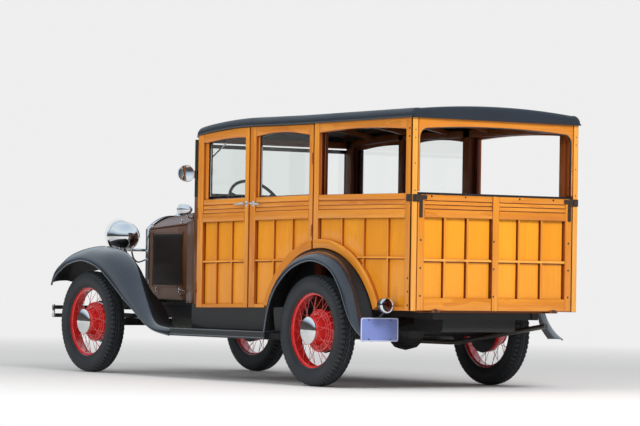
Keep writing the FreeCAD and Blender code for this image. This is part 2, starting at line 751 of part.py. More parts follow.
def spring(y, seat):
    """Semi-elliptic leaf spring on its seat, with a shackle at each eye up to the rail."""
    eye = seat + 43.0
    low = arc_points((0.0, y - spring_half, eye), (0.0, y, seat), (0.0, y + spring_half, eye), 7)
    high = arc_points((0.0, y + spring_half, eye + 9.0), (0.0, y, seat + spring_pack),
                      (0.0, y - spring_half, eye + 9.0), 7)
    points = [(along, z) for x, along, z in low + high]
    x = rail_outer - rail_width / 2.0
    width = (x - spring_width / 2.0, x + spring_width / 2.0)
    leaf = plate_x(points, width)
    shackles = [box(width, (end - 13.0, end + 13.0), (eye + 2.0, rail_arch_bottom))
                for end in (y - spring_half + 13.0, y + spring_half - 13.0)]
    return leaf.multiFuse(shackles)


def differential():
    r = differential_radius
    return turned([(-110.0, 0.0), (-110.0, 60.0), (-60.0, r - 12.0), (0.0, r), (60.0, r - 12.0),
                   (110.0, 60.0), (110.0, 0.0)], (0.0, rear_axle_y, tyre_radius), (1, 0, 0), small_sides)


def backing_plate(y):
    radius = drum_radius + 6.0
    return turned([(-70.0, 0.0), (-70.0, radius), (-65.0, radius), (-65.0, 0.0)], (wheel_x, y, tyre_radius),
                  (1, 0, 0), hub_sides)


def make_axles():
    z = tyre_radius
    king_x = wheel_x - kingpin_offset
    beam = box((-king_x, king_x), (front_axle_y - 22.0, front_axle_y + 22.0), (z - 26.0, z + 26.0))
    web = box((60.0 - king_x, king_x - 60.0), (front_axle_y + 7.0, front_axle_y + 23.0),
              (z - 17.0, z + 17.0))
    beam = beam.cut(web).cut(web.mirror(vec(0, front_axle_y, 0), vec(0, 1, 0)))
    eye = rod((king_x, front_axle_y, z - 30.0), (king_x, front_axle_y, z + 30.0), 24.0)
    kingpin = pin((king_x, front_axle_y, z - 58.0), (king_x, front_axle_y, z + 58.0), kingpin_radius)
    save("front_axle", fuse([beam, eye, kingpin, mirrored(eye), mirrored(kingpin)]))

    tube = rod((-(wheel_x - 70.0), rear_axle_y, z), (wheel_x - 70.0, rear_axle_y, z), axle_tube_radius)
    ball = differential()
    stub = pin((wheel_x - 72.0, rear_axle_y, z), (wheel_x + 62.0, rear_axle_y, z), spindle_radius)
    plate = backing_plate(rear_axle_y)
    save("rear_axle", fuse([tube, ball, stub, mirrored(stub), plate, mirrored(plate)]))
    front, rear = spring(front_axle_y, z + 26.0), spring(rear_axle_y, z + axle_tube_radius)
    save("leaf_springs", Part.makeCompound([front, mirrored(front), rear, mirrored(rear)]))


def make_knuckles():
    z = tyre_radius
    king_x = wheel_x - kingpin_offset
    lugs = []
    for low in (z + 35.0, z - 55.0):
        disc = rod((king_x, front_axle_y, low), (king_x, front_axle_y, low + 20.0), 24.0)
        arm = box((king_x, king_x + 44.0), (front_axle_y - 22.0, front_axle_y + 22.0), (low, low + 20.0))
        lugs += [disc, arm]
    web = box((king_x + 29.0, king_x + 44.0), (front_axle_y - 22.0, front_axle_y + 22.0),
              (z - 55.0, z + 55.0))
    stub = pin((king_x + 30.0, front_axle_y, z), (wheel_x + 62.0, front_axle_y, z), spindle_radius)
    plate = backing_plate(front_axle_y)
    bore = pin((king_x, front_axle_y, z - 70.0), (king_x, front_axle_y, z + 70.0),
               kingpin_radius + running_clearance)
    knuckle = fuse(lugs + [web, stub, plate]).cut(bore)
    save("knuckle_left", knuckle)
    save("knuckle_right", mirrored(knuckle))


def make_power_unit():
    half = hood_front_half * 0.634
    cylinders = box((-half, half), (-1270.0, -700.0), (rail_top - 60.0, 960.0))
    sump = box((-half * 0.76, half * 0.76), (-1250.0, -720.0), (rail_top - 190.0, rail_top - 60.0))
    bell = rod((0.0, -700.0, crank_z), (0.0, -560.0, crank_z), 140.0)
    gearbox = rod((0.0, -560.0, crank_z), (0.0, -300.0, crank_z), 90.0)
    shaft = rod((0.0, -300.0, crank_z), (0.0, rear_axle_y, tyre_radius), 30.0).cut(differential())
    save("power_unit", fuse([cylinders, sump, bell, gearbox, shaft]))


def make_exhaust():
    x, tail_x = 100.0 - rail_outer, -rail_outer - 15.0
    head = pipe([(-200.0, -760.0, 520.0), (-200.0 + (x + 200.0) * 0.85, -630.0, 385.0), (x, -560.0, 358.0),
                 (x, 50.0, 340.0)], 20.0)
    muffler = rod((x, 50.0, 340.0), (x, 700.0, 340.0), 62.0)
    tail = pipe([(x, 700.0, 340.0), (x - 4.0, 970.0, 295.0), (x - 18.0, 1050.0, 288.0),
                 (tail_x + 12.0, 1310.0, 285.0), (tail_x, 1400.0, 290.0), (tail_x, 2290.0, 414.0)], 17.0)
    hanger = box((rail_width - rail_outer, x + 10.0), (200.0, 230.0), (397.0, 412.0))
    save("exhaust", fuse([head, muffler, tail, hanger]))


def make_tank():
    half = rail_outer - 135.0
    tank = box((-half, half), (1860.0, frame_rear - 70.0), (370.0, rail_top))
    tank = tank.makeFillet(30.0, [e for e in tank.Edges if abs(e.tangentAt(0).x) > 0.9])
    save("fuel_tank", tank)


# Wheels

def wheel_shape():
    """Rim, drum, hub barrel with cap and crossed spokes, about the x axis."""
    lip, well = rim_half_width + 7.0, rim_half_width + 2.0
    rim = turned([(-lip, rim_flange_radius), (-rim_half_width, bead_radius), (rim_half_width, bead_radius),
                  (lip, rim_flange_radius), (well, rim_well_radius), (-well, rim_well_radius)],
                 (0, 0, 0), (1, 0, 0), wheel_sides)
    hub = turned([(-58.0, 0.0), (-58.0, drum_radius), (-10.0, drum_radius), (22.0, 98.0), (72.0, 84.0),
                  (78.0, hub_cap_radius), (hub_cap_reach, 22.0), (hub_cap_reach, 0.0)],
                 (0, 0, 0), (1, 0, 0), hub_sides)
    hub = hub.cut(pin((-59.0, 0.0, 0.0), (66.0, 0.0, 0.0), spindle_radius + running_clearance))
    spokes = []
    for index in range(spoke_count):
        outboard = index % 2 == 0
        lean = spoke_lean if (index // 2) % 2 == 0 else -spoke_lean
        foot_x, foot_radius = (56.0, 84.0) if outboard else (4.0, 112.0)
        rim_x = 8.0 if outboard else -12.0
        rim_angle = math.radians(360.0 * index / spoke_count)
        foot_angle = rim_angle + math.radians(lean)
        foot = vec(foot_x, foot_radius * math.sin(foot_angle), foot_radius * math.cos(foot_angle))
        head_radius = rim_well_radius + 4.0
        head = vec(rim_x, head_radius * math.sin(rim_angle), head_radius * math.cos(rim_angle))
        spoke = Part.makeBox(spoke_size, spoke_size, (head - foot).Length,
                             vec(-spoke_size / 2.0, -spoke_size / 2.0, 0))
        turn = FreeCAD.Rotation(vec(0, 0, 1), head - foot)
        spoke.Placement = FreeCAD.Placement(foot, turn).multiply(spoke.Placement)
        spokes.append(spoke)
    return hub.multiFuse([rim] + spokes)


def make_wheels():
    shoulder = tyre_width / 2.0
    tyre = turned([(-rim_half_width, bead_radius), (-shoulder, 308.0), (-shoulder + 9.0, 345.0),
                   (-32.0, tyre_radius), (32.0, tyre_radius), (shoulder - 9.0, 345.0), (shoulder, 308.0),
                   (rim_half_width, bead_radius)], (0, 0, 0), (1, 0, 0), wheel_sides)
    wheel = wheel_shape()
    for end, y in (("front", front_axle_y), ("rear", rear_axle_y)):
        for name, shape in (("wheel", wheel), ("tyre", tyre)):
            placed = shape.copy()
            placed.translate(vec(wheel_x, y, tyre_radius))
            save(name + "_" + end + "_left", placed)
            save(name + "_" + end + "_right", mirrored(placed))


# Fenders: sections square to the path of the outer lip, each a quarter ellipse from lip to ridge

def fender_shell(stations):
    """Thin shell over stations of lip y, z; ridge x, rise; inner edge x, rise; x from the body side."""
    sections = []
    for index, (y, z, ridge_x, ridge_rise, inner_x, inner_rise) in enumerate(stations):
        before = stations[max(index - 1, 0)]
        after = stations[min(index + 1, len(stations) - 1)]
        along = vec(0, after[0] - before[0], after[1] - before[1]).normalize()
        up = vec(0, -along.z, along.y)

        def at(x, rise):
            point = vec(body_half + x, y, z) + up * rise
            return (point.x, point.y, point.z)

        def crown(inset):
            turns = [math.radians(90.0 * step / crown_steps) for step in range(crown_steps + 1)]
            across = fender_reach - body_half - ridge_x - inset
            return [at(ridge_x + across * math.cos(turn), (ridge_rise - inset) * math.sin(turn))
                    for turn in turns]
        outer = crown(0.0) + [at(inner_x, inner_rise)]
        inner = crown(fender_skin) + [at(inner_x, inner_rise - fender_skin)]
        sections.append(outer + list(reversed(inner)))
    return skin(sections)


crown_steps = 5
# columns: lip y, lip z, ridge x, ridge rise, inner x, inner rise; x is measured from the body side
front_fender_stations = (
    (-1815.0, 615.0, -25.0, 70.0, -100.0, 40.0),
    (-1770.0, 680.0, -35.0, 95.0, -115.0, 30.0),
    (-1690.0, 727.0, -50.0, 104.0, -150.0, 0.0),
    (-1600.0, 767.0, -63.0, 108.0, -180.0, -30.0),
    (-1443.0, 796.0, -73.0, 107.0, -235.0, -80.0),
    (-1320.0, 786.0, -75.0, 112.0, -241.0, -100.0),
    (-1175.0, 743.0, -73.0, 128.0, -243.0, -100.0),
    (-1031.0, 662.0, -60.0, 128.0, -241.0, -80.0),
    (-868.0, 553.0, -25.0, 95.0, -231.0, -60.0),
    (-707.0, 455.0, 20.0, 62.0, -175.0, -45.0),
    (-560.0, 368.0, 67.0, 44.0, -115.0, -20.0),
    (-430.0, 318.0, 97.0, 42.0, -75.0, 20.0),
    (-240.0, 290.0, 121.0, 50.0, -55.0, 46.0),
)
rear_fender_stations = (
    (905.0, 340.0, 75.0, 40.0, 5.0, 60.0),
    (940.0, 480.0, 67.0, 56.0, 5.0, 120.0),
    (1000.0, 595.0, 65.0, 64.0, 5.0, 140.0),
    (1090.0, 688.0, 63.0, 68.0, 5.0, 128.0),
    (1220.0, 768.0, 61.0, 68.0, 5.0, 104.0),
    (1390.0, 811.0, 60.0, 62.0, 5.0, 76.0),
    (1530.0, 796.0, 60.0, 60.0, 5.0, 62.0),
    (1650.0, 742.0, 60.0, 60.0, 5.0, 60.0),
    (1745.0, 632.0, 60.0, 62.0, 5.0, 80.0),
    (1800.0, 530.0, 60.0, 56.0, 5.0, 92.0),
    (1862.0, 432.0, 60.0, 44.0, 5.0, 80.0),
    (1935.0, 367.0, 60.0, 30.0, 5.0, 40.0),
    (2026.0, 318.0, 60.0, 12.0, 5.0, 12.0),
)


def front_fender():
    behind = box((0.0, fender_reach + 50.0), (board_front, 0.0), (0.0, 900.0))
    return fender_shell(front_fender_stations).cut(behind)


def make_fenders():
    front = front_fender()
    save("front_fenders", both_sides(front))
    below = box((0.0, fender_reach + 50.0), (0.0, board_rear), (0.0, board_top))
    rear = fender_shell(rear_fender_stations).cut(below)
    rim = arch_radius - door_gap - 1.0
    inner = wheelhouse_inner
    hollow = arch_cylinder(rim - 4.0, (inner + 4.0, body_half + 9.0))
    house = arch_cylinder(rim, (inner, body_half + 8.0)).cut(hollow)
    house = house.common(box((inner - 1.0, body_half + 10.0), (500.0, 2100.0), (body_bottom, 1000.0)))
    save("rear_fenders", both_sides(rear.fuse(house)))


def make_running_boards():
    edge = [(board_inner, board_top - board_depth), (board_reach, board_top - board_depth),
            (board_reach, board_top - 10.0),
            ((board_reach - 3.0, board_top - 3.0), (board_reach - 10.0, board_top)), (board_inner, board_top)]
    board = plate_y(edge, (board_front, board_rear))
    apron = box((board_inner, board_inner + 4.0), (board_front, board_rear), (board_top - 5.0, body_bottom))
    save("running_boards", both_sides(board.fuse(apron)))


# Inside

riser_height = 190.0
wheel_tilt = math.radians(35.0)
steering_at = (seat_half - 195.0, 130.0, 1190.0)
steering_radius = 205.0
column_radius = 20.0


def make_floor():
    rear_end = gate_line - 2.0
    low = floor_top - floor_thickness
    narrow, wide = wheelhouse_inner - 2.0, post_inner - 1.0
    plank = box((-narrow, narrow), (body_front, rear_end), (low, floor_top))
    ends = [box((-wide, wide), span, (low, floor_top)) for span in ((body_front, 740.0), (1940.0, rear_end))]
    toe = plate_x([(body_front, low), (hood_rear + 26.0, low + 200.0), (hood_rear + 26.0, floor_top + 200.0),
                   (body_front, floor_top)], (-steering_at[0] - 34.0, steering_at[0] + 34.0))
    risers = [box((5.0 - seat_half, seat_half - 5.0), (y, y + 430.0), (floor_top, floor_top + riser_height))
              for y in (330.0, 1230.0)]
    beams = [box((-narrow, narrow), (y, y + 60.0), (under, low))
             for y, under in ((-90.0, rail_top), (700.0, rail_top + rail_lift + 1.0), (2195.0, rail_top))]
    save("floor", fuse([plank, toe.cut(steering_tube())] + ends + risers + beams + gate_straps(2250.0)))


def make_seats():
    for name, front, top in (("front_seat", 330.0, 1295.0), ("rear_seat", 1230.0, 1225.0)):
        low = floor_top + riser_height + rest_gap
        cushion = box((-seat_half, seat_half), (front, front + 470.0), (low, low + 140.0))
        foot = low + 140.0 + rest_gap
        back = plate_x([(front + 420.0, foot), (front + 480.0, top), (front + 580.0, top),
                        (front + 540.0, foot)], (-seat_half, seat_half))
        save(name, Part.makeCompound([cushion, back]))


def column_line():
    """Centre of the steering wheel and the way its column runs down."""
    return vec(*steering_at), vec(0, -math.cos(wheel_tilt), -math.sin(wheel_tilt))


def steering_tube():
    centre, down = column_line()
    return rod(centre + down * (30.0 + rest_gap), centre + down * 895.0, column_radius)


def make_steering():
    centre, down = column_line()
    ring = turned([(-8.0, steering_radius - 7.0), (0.0, steering_radius - 11.0), (8.0, steering_radius - 7.0),
                   (8.0, steering_radius + 7.0), (0.0, steering_radius + 11.0),
                   (-8.0, steering_radius + 7.0)], steering_at, down, lamp_sides)
    hub = rod(centre - down * 10.0, centre + down * 30.0, 26.0)
    across = vec(1, 0, 0)
    upward = down.cross(across)
    turns = [math.radians(turn) for turn in (30.0, 150.0, 270.0)]
    ways = [across * math.cos(turn) + upward * math.sin(turn) for turn in turns]
    spokes = [rod(centre, centre + way * (steering_radius - 5.0), 7.0, 8) for way in ways]
    save("steering_wheel", fuse([ring, hub] + spokes))
    save("steering_column", steering_tube())


for make in (make_frame, make_axles, make_knuckles, make_wheels, make_power_unit, make_exhaust, make_tank,
             make_radiator, make_hood, make_cowl, make_windscreen, make_lamps, make_mirror, make_bumper,
             make_doors, make_body_sides, make_body_frame, make_tailgate, make_roof_frame, make_roof,
             make_fenders, make_running_boards, make_floor, make_seats, make_steering):
    make()
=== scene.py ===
import bmesh
import bpy
import random
from math import acos, asin, atan2, copysign, cos, dist, exp, hypot, pi, radians, sin, sqrt
from mathutils import Matrix, Vector


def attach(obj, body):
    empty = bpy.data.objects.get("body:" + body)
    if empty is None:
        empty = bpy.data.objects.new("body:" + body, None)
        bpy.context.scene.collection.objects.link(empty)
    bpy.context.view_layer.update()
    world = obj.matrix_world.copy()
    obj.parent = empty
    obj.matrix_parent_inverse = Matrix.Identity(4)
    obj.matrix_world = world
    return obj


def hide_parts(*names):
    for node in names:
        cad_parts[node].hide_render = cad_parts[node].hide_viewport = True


# Looks of a wooden-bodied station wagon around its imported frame. Numbers are millimetres, with y
# measured from the middle of the wheelbase; placed() turns them into the record's metres. The
# lights and the camera at the end are in metres.

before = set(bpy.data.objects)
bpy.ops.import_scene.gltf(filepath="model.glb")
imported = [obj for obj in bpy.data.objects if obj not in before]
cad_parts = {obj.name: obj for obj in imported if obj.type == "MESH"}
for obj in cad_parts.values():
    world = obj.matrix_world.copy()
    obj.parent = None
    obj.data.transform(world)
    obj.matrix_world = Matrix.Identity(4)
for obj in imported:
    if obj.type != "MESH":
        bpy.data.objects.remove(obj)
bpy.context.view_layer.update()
random.seed(31)
mm, record_shift = 0.001, -189.5
sides = ((1, "left"), (-1, "right"))
to_left, to_rear, to_front, to_top = (1, 0, 0), (0, 1, 0), (0, -1, 0), (0, 0, 1)
sill, head_line = 1243, 1640
drift_from, drift_length, belt_drop, head_rise = 1100, 1000, 18, 12


def placed(point, shift=record_shift):
    return Vector((point[0], point[1] + shift, point[2])) * mm


# Gathering meshes

def body_drift(y, z):
    """How far a point of the wooden body is set from the solid's height, by its place."""
    forward = min(max((drift_from - y) / drift_length, 0), 1.15)
    upward = min(max((z - sill) / (head_line - sill), 0), 1)
    return forward * ((head_rise + belt_drop) * upward - belt_drop)


grain_order = {"x": (0, 1, 2), "y": (1, 0, 2), "z": (2, 0, 1)}


class Piece:
    """Solids gathered into one mesh; side is 1 on the car's left and -1 mirrors to its right.

    The mark of a face is the place of its material in the list that make is given.
    A body piece follows the photograph's taller front windows: from the rear door forward its belt
    and boards lie a little lower and its roof line a little higher.
    """

    def __init__(self, side=1, body=False):
        self.side, self.body = side, body
        self.points, self.faces, self.marks, self.grain, self.tone = [], [], [], [], []

    def add(self, points, faces, mark=0, grain=None, tone=0):
        base = len(self.points)
        if self.body:
            points = [(p[0], p[1], p[2] + body_drift(p[1], p[2])) for p in points]
        self.points += [(p[0] * self.side, p[1], p[2]) for p in points]
        for face in faces:
            order = face if self.side > 0 else tuple(reversed(face))
            self.faces.append(tuple(base + i for i in order))
        self.marks += mark if isinstance(mark, list) else [mark] * len(faces)
        self.grain += grain if grain else [tuple(p) for p in points]
        self.tone += tone if isinstance(tone, list) else [tone] * len(points)

    def mesh(self, name, materials, sharp, shift=record_shift):
        data = bpy.data.meshes.new(name)
        data.from_pydata([placed(p, shift) for p in self.points], [], self.faces)
        data.polygons.foreach_set("material_index", self.marks)
        data.polygons.foreach_set("use_smooth", [True] * len(self.faces))
        grain = data.attributes.new("grain", "FLOAT_VECTOR", "POINT")
        grain.data.foreach_set("vector", [c * mm for g in self.grain for c in g])
        tone = data.attributes.new("tone", "FLOAT", "POINT")
        tone.data.foreach_set("value", self.tone)
        for m in materials:
            data.materials.append(m)
        data.set_sharp_from_angle(angle=radians(sharp))
        data.update()
        return data

    def make(self, name, body, materials, slot, replaces=(), sharp=38):
        piece = bpy.data.objects.new(name, self.mesh(name, materials, sharp))
        bpy.context.scene.collection.objects.link(piece)
        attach(piece, body)
        if replaces:
            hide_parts(*replaces)
        return piece


def once(side, *names):
    """Nodes that hold both sides; the left piece replaces them."""
    return names if side > 0 else ()


def outward(points, faces):
    """Faces of a closed shape, turned so that they face out of it."""
    volume = 0
    for face in faces:
        a = Vector(points[face[0]])
        for i in range(1, len(face) - 1):
            volume += a.dot(Vector(points[face[i]]).cross(Vector(points[face[i + 1]])))
    return faces if volume > 0 else [tuple(reversed(face)) for face in faces]


def inset(outline, distance):
    """Outline moved inward by a distance, corner by corner; it runs anticlockwise."""
    if distance == 0:
        return list(outline)
    found = []
    for index, point in enumerate(outline):
        last, after = outline[index - 1], outline[(index + 1) % len(outline)]
        a = Vector((point[0] - last[0], point[1] - last[1])).normalized()
        b = Vector((after[0] - point[0], after[1] - point[1])).normalized()
        normal = Vector((-a.y - b.y, a.x + b.x))
        length = max(normal.length, 1e-6)
        normal /= length
        reach = distance / max(length / 2, 0.35)
        found.append((point[0] + normal.x * reach, point[1] + normal.y * reach))
    return found


def anticlockwise(outline):
    area = sum(a[0] * b[1] - b[0] * a[1] for a, b in zip(outline, outline[1:] + outline[:1]))
    return outline if area > 0 else list(reversed(outline))


def on_plane(plane, u, v, depth):
    return {"x": (depth, u, v), "y": (u, depth, v), "z": (u, v, depth)}[plane]


def row_faces(count, rows, around=True, wrapped=False, ends=True):
    """Faces between rows of equally many points, and over the first and last row."""
    faces = []
    for row in range(rows if wrapped else rows - 1):
        low, high = row * count, (row + 1) % rows * count
        for i in range(count if around else count - 1):
            j = (i + 1) % count
            faces.append((low + i, low + j, high + j, high + i))
    if ends:
        faces.append(tuple(reversed(range(count))))
        faces.append(tuple(range((rows - 1) * count, rows * count)))
    return faces


def timber(piece, plane, outline, depth, along, edge=2.5, mark=0, spread=0.05, curve=None, tone=0,
           shade=0.45):
    """Solid with rounded front edges on an outline in a plane.

    depth is (back, front), shade paints shade on the sides, darkest at the back, curve bends the grain.
    """
    outline = anticlockwise([p for i, p in enumerate(outline) if dist(p, outline[i - 1]) > 0.05])
    way = 1 if depth[1] > depth[0] else -1
    edge = min(edge, abs(depth[1] - depth[0]) * 0.8)
    loops = [(0, depth[0])]
    for turn in (0, 30, 60, 90):
        a = radians(turn)
        loops.append((edge * (1 - cos(a)), depth[1] - way * edge * (1 - sin(a))))
    points = []
    for distance, height in loops:
        points += [on_plane(plane, u, v, height) for u, v in inset(outline, distance)]
    offset = [random.uniform(0, 4000) for _ in range(3)]
    if curve:
        local = [curve(p) for p in points]
    else:
        order = grain_order[along]
        local = [tuple(p[i] for i in order) for p in points]
    grain = [tuple(c + o for c, o in zip(p, offset)) for p in local]
    tone += random.uniform(-spread, spread)
    tones = [tone - shade * share for share in (1.3, 1, 0.6, 0.15, 0) for _ in outline]
    piece.add(points, outward(points, row_faces(len(outline), len(loops))), mark, grain, tones)


def rectangle(u, v):
    return [(u[0], v[0]), (u[1], v[0]), (u[1], v[1]), (u[0], v[1])]


def beam(piece, x, y, z, along, edge=2, mark=0, spread=0.05, tone=0):
    """Block with all its edges bevelled."""
    low, high = (x[0], y[0], z[0]), (x[1], y[1], z[1])
    edge = min([edge] + [(b - a) * 0.45 for a, b in zip(low, high)])
    points, index = [], {}
    for corner in range(8):
        ends = [(low, high)[(corner >> axis) & 1][axis] for axis in range(3)]
        inward = [edge if not (corner >> axis) & 1 else -edge for axis in range(3)]
        for axis in range(3):
            index[corner, axis] = len(points)
            points.append(tuple(ends[k] + (0 if k == axis else inward[k]) for k in range(3)))
    faces = []
    for axis in range(3):
        a, b = (axis + 1) % 3, (axis + 2) % 3
        for end in (0, 1):
            ring = [end << axis | i << a | j << b for i, j in ((0, 0), (1, 0), (1, 1), (0, 1))]
            face = tuple(index[c, axis] for c in ring)
            faces.append(face if end else tuple(reversed(face)))
        for i in (0, 1):
            for j in (0, 1):
                first, second = i << a | j << b, i << a | j << b | 1 << axis
                face = (index[first, a], index[second, a], index[second, b], index[first, b])
                faces.append(face if i != j else tuple(reversed(face)))
    for corner in range(8):
        face = tuple(index[corner, axis] for axis in range(3))
        odd = bin(corner).count("1") % 2
        faces.append(face if odd else tuple(reversed(face)))
    offset = [random.uniform(0, 4000) for _ in range(3)]
    order = grain_order[along]
    grain = [tuple(p[i] + offset[k] for k, i in enumerate(order)) for p in points]
    piece.add(points, faces, mark, grain, tone + random.uniform(-spread, spread))


def axes_of(axis):
    """Two directions square to an axis and to each other."""
    axis = Vector(axis).normalized()
    across = Vector(to_top if abs(axis.z) < 0.9 else to_left)
    across = (across - axis * across.dot(axis)).normalized()
    return axis, across, axis.cross(across)


def circle(centre, across, third, radius, steps):
    turns = [2 * pi * step / steps for step in range(steps)]
    return [tuple(centre + (across * cos(a) + third * sin(a)) * radius) for a in turns]


def lathe(piece, profile, centre, axis, steps=48, mark=0, ring=False):
    """Profile of (along, radius) points spun about an axis; ring joins its last point to its first."""
    axis, across, third = axes_of(axis)
    centre = Vector(centre)
    points, rows, faces = [], [], []
    for along, radius in profile:
        if radius < 1e-6:
            rows.append([len(points)] * steps)
            points.append(tuple(centre + axis * along))
        else:
            rows.append(list(range(len(points), len(points) + steps)))
            points += circle(centre + axis * along, across, third, radius, steps)
    for a, b in list(zip(rows, rows[1:])) + ([(rows[-1], rows[0])] if ring else []):
        for i in range(steps):
            j = (i + 1) % steps
            face = tuple(dict.fromkeys((a[i], a[j], b[j], b[i])))
            if len(face) > 2:
                faces.append(face)
    piece.add(points, outward(points, faces), mark)


def tube(piece, path, radius, steps=10, mark=0, closed=False):
    """Round bar along a path; radius may be one number or one for each point."""
    path = [Vector(p) for p in path]
    count = len(path)
    radii = radius if isinstance(radius, (list, tuple)) else [radius] * count
    points, across = [], None
    for i, point in enumerate(path):
        before = path[i - 1] if closed or i else point
        after = path[(i + 1) % count] if closed or i < count - 1 else point
        along = (after - before).normalized()
        if across is None:
            across = axes_of(along)[1]
        across = (across - along * across.dot(along)).normalized()
        points += circle(point, across, along.cross(across), radii[i], steps)
    piece.add(points, outward(points, row_faces(steps, count, True, closed, not closed)), mark)


def loft(piece, sections, mark=0, ends=True, closed=True):
    """Skin over sections of equally many points."""
    points = [tuple(p) for section in sections for p in section]
    faces = row_faces(len(sections[0]), len(sections), closed, False, ends)
    if isinstance(mark, list):
        mark = mark * (len(sections) - 1) + [mark[0]] * (2 if ends else 0)
    piece.add(points, outward(points, faces) if ends else faces, mark)


def smooth(rows, steps):
    """Rows of numbers with smoothly curved rows between them."""
    found = []
    for i in range(len(rows) - 1):
        a, b = rows[max(i - 1, 0)], rows[i]
        c, d = rows[i + 1], rows[min(i + 2, len(rows) - 1)]
        for step in range(steps):
            t = step / steps
            found.append(tuple(0.5 * (2 * q + (r - p) * t + (2 * p - 5 * q + 4 * r - s) * t * t
                                      + (3 * q - p - 3 * r + s) * t ** 3) for p, q, r, s in zip(a, b, c, d)))
    return found + [tuple(rows[-1])]


def arc(start, middle, end, count):
    """Points along the circle through three points in a plane."""
    (ax, ay), (bx, by), (cx, cy) = start, middle, end
    a, b, c = (u ** 2 + v ** 2 for u, v in (start, middle, end))
    d = 2 * (ax * (by - cy) + bx * (cy - ay) + cx * (ay - by))
    x = (a * (by - cy) + b * (cy - ay) + c * (ay - by)) / d
    y = (a * (cx - bx) + b * (ax - cx) + c * (bx - ax)) / d
    radius = hypot(ax - x, ay - y)
    first, between, last = (atan2(p[1] - y, p[0] - x) for p in (start, middle, end))
    full = 2 * pi
    sweep = (last - first) % full
    if (between - first) % full > sweep:
        sweep = -((first - last) % full)
    turns = [first + sweep * i / (count - 1) for i in range(count)]
    return [(x + radius * cos(turn), y + radius * sin(turn)) for turn in turns]


# Materials

def shader(name):
    material = bpy.data.materials.new(name)
    material.use_nodes = True
    tree = material.node_tree
    return material, tree, tree.nodes["Principled BSDF"]


def feed(tree, made, values):
    """Set a node's inputs, and link those whose value is another node's output."""
    for key, value in values.items():
        if hasattr(value, "is_linked"):
            tree.links.new(value, made.inputs[key])
        else:
            made.inputs[key].default_value = value


def node(tree, kind, values=(), **settings):
    made = tree.nodes.new("ShaderNode" + kind)
    for key, value in settings.items():
        setattr(made, key, value)
    feed(tree, made, dict(values))
    return made


def place_in(tree):
    return node(tree, "TexCoord").outputs["Object"]


def tone_in(tree):
    """The piece's tone as a brightness around one: random differences between pieces, with painted shade and
    highlights where the code sets them.
    """
    return calc(tree, "ADD", node(tree, "Attribute", attribute_name="tone").outputs["Fac"], 1)


def calc(tree, operation, a, b=0):
    return node(tree, "Math", {0: a, 1: b}, operation=operation).outputs[0]


def stretched(tree, vector, scale):
    return node(tree, "Mapping", {"Vector": vector, "Scale": scale}).outputs[0]


def noise(tree, vector, scale, detail=3, rough=0.55):
    made = node(tree, "TexNoise", {"Vector": vector, "Scale": scale, "Detail": detail, "Roughness": rough})
    return made.outputs["Fac"]


def band(tree, value, low, high, to_low=0, to_high=1):
    return node(tree, "MapRange", {"Value": value, "From Min": low, "From Max": high, "To Min": to_low,
                                   "To Max": to_high}).outputs[0]


def blend(tree, fac, a, b, kind="MIX"):
    return node(tree, "Mix", {0: fac, 6: a, 7: b}, data_type="RGBA", blend_type=kind).outputs[2]


def bump(tree, bsdf, height, distance, strength=1):
    made = node(tree, "Bump", {"Height": height, "Distance": distance, "Strength": strength})
    feed(tree, bsdf, {"Normal": made.outputs[0]})


def colour(red, green, blue, alpha=1):
    """Colour given as it shows on a screen, 0 to 255."""
    def line(value):
        value /= 255
        return value / 12.92 if value <= 0.04045 else ((value + 0.055) / 1.055) ** 2.4
    return (line(red), line(green), line(blue), alpha)


def scaled(base, share, more=0):
    return tuple(min(1, c * share + more) for c in base[:3]) + (1,)


def wood(name, light, dark, rough=0.34, coat=0.35, contrast=1):
    """Varnished timber whose figure follows each piece's own grain."""
    material, tree, bsdf = shader(name)
    grain = node(tree, "Attribute", attribute_name="grain").outputs["Vector"]
    streak = noise(tree, stretched(tree, grain, (1.6, 70, 70)), 1, 5, 0.6)
    fine = noise(tree, stretched(tree, grain, (9, 420, 420)), 1, 2, 0.5)
    broad = noise(tree, stretched(tree, grain, (1.1, 7, 7)), 1, 2, 0.5)
    rings = node(tree, "TexWave", {"Vector": stretched(tree, grain, (0.10, 1, 0.6)), "Scale": 21,
                                   "Distortion": 5, "Detail": 2, "Detail Scale": 1.2},
                 wave_type="BANDS", bands_direction="Y", wave_profile="SAW").outputs["Fac"]
    mixed = calc(tree, "ADD", calc(tree, "MULTIPLY", streak, 0.62), calc(tree, "MULTIPLY", rings, 0.20))
    mixed = calc(tree, "ADD", mixed, calc(tree, "MULTIPLY", broad, 0.42))
    tint = blend(tree, band(tree, mixed, 0.40, 0.86, 0, contrast), light, dark)
    tint = blend(tree, band(tree, fine, 0.60, 0.78, 0, 0.30), tint, scaled(dark, 0.45))
    # The tone paints shade and light on the wood; darker tones also turn redder, as the painted shade in
    # recesses should.
    bright = tone_in(tree)
    level = node(tree, "CombineColor", {0: bright, 1: calc(tree, "POWER", bright, 1.6),
                                        2: calc(tree, "POWER", bright, 1.3)}).outputs[0]
    feed(tree, bsdf, {"Base Color": blend(tree, 1, tint, level, "MULTIPLY"),
                      "Roughness": band(tree, fine, 0.3, 0.8, rough - 0.05, rough + 0.08),
                      "Coat Weight": coat, "Coat Roughness": 0.10, "Specular IOR Level": 0.25})
    bump(tree, bsdf, calc(tree, "ADD", streak, calc(tree, "MULTIPLY", fine, 0.5)), 0.0004, 0.5)
    return material


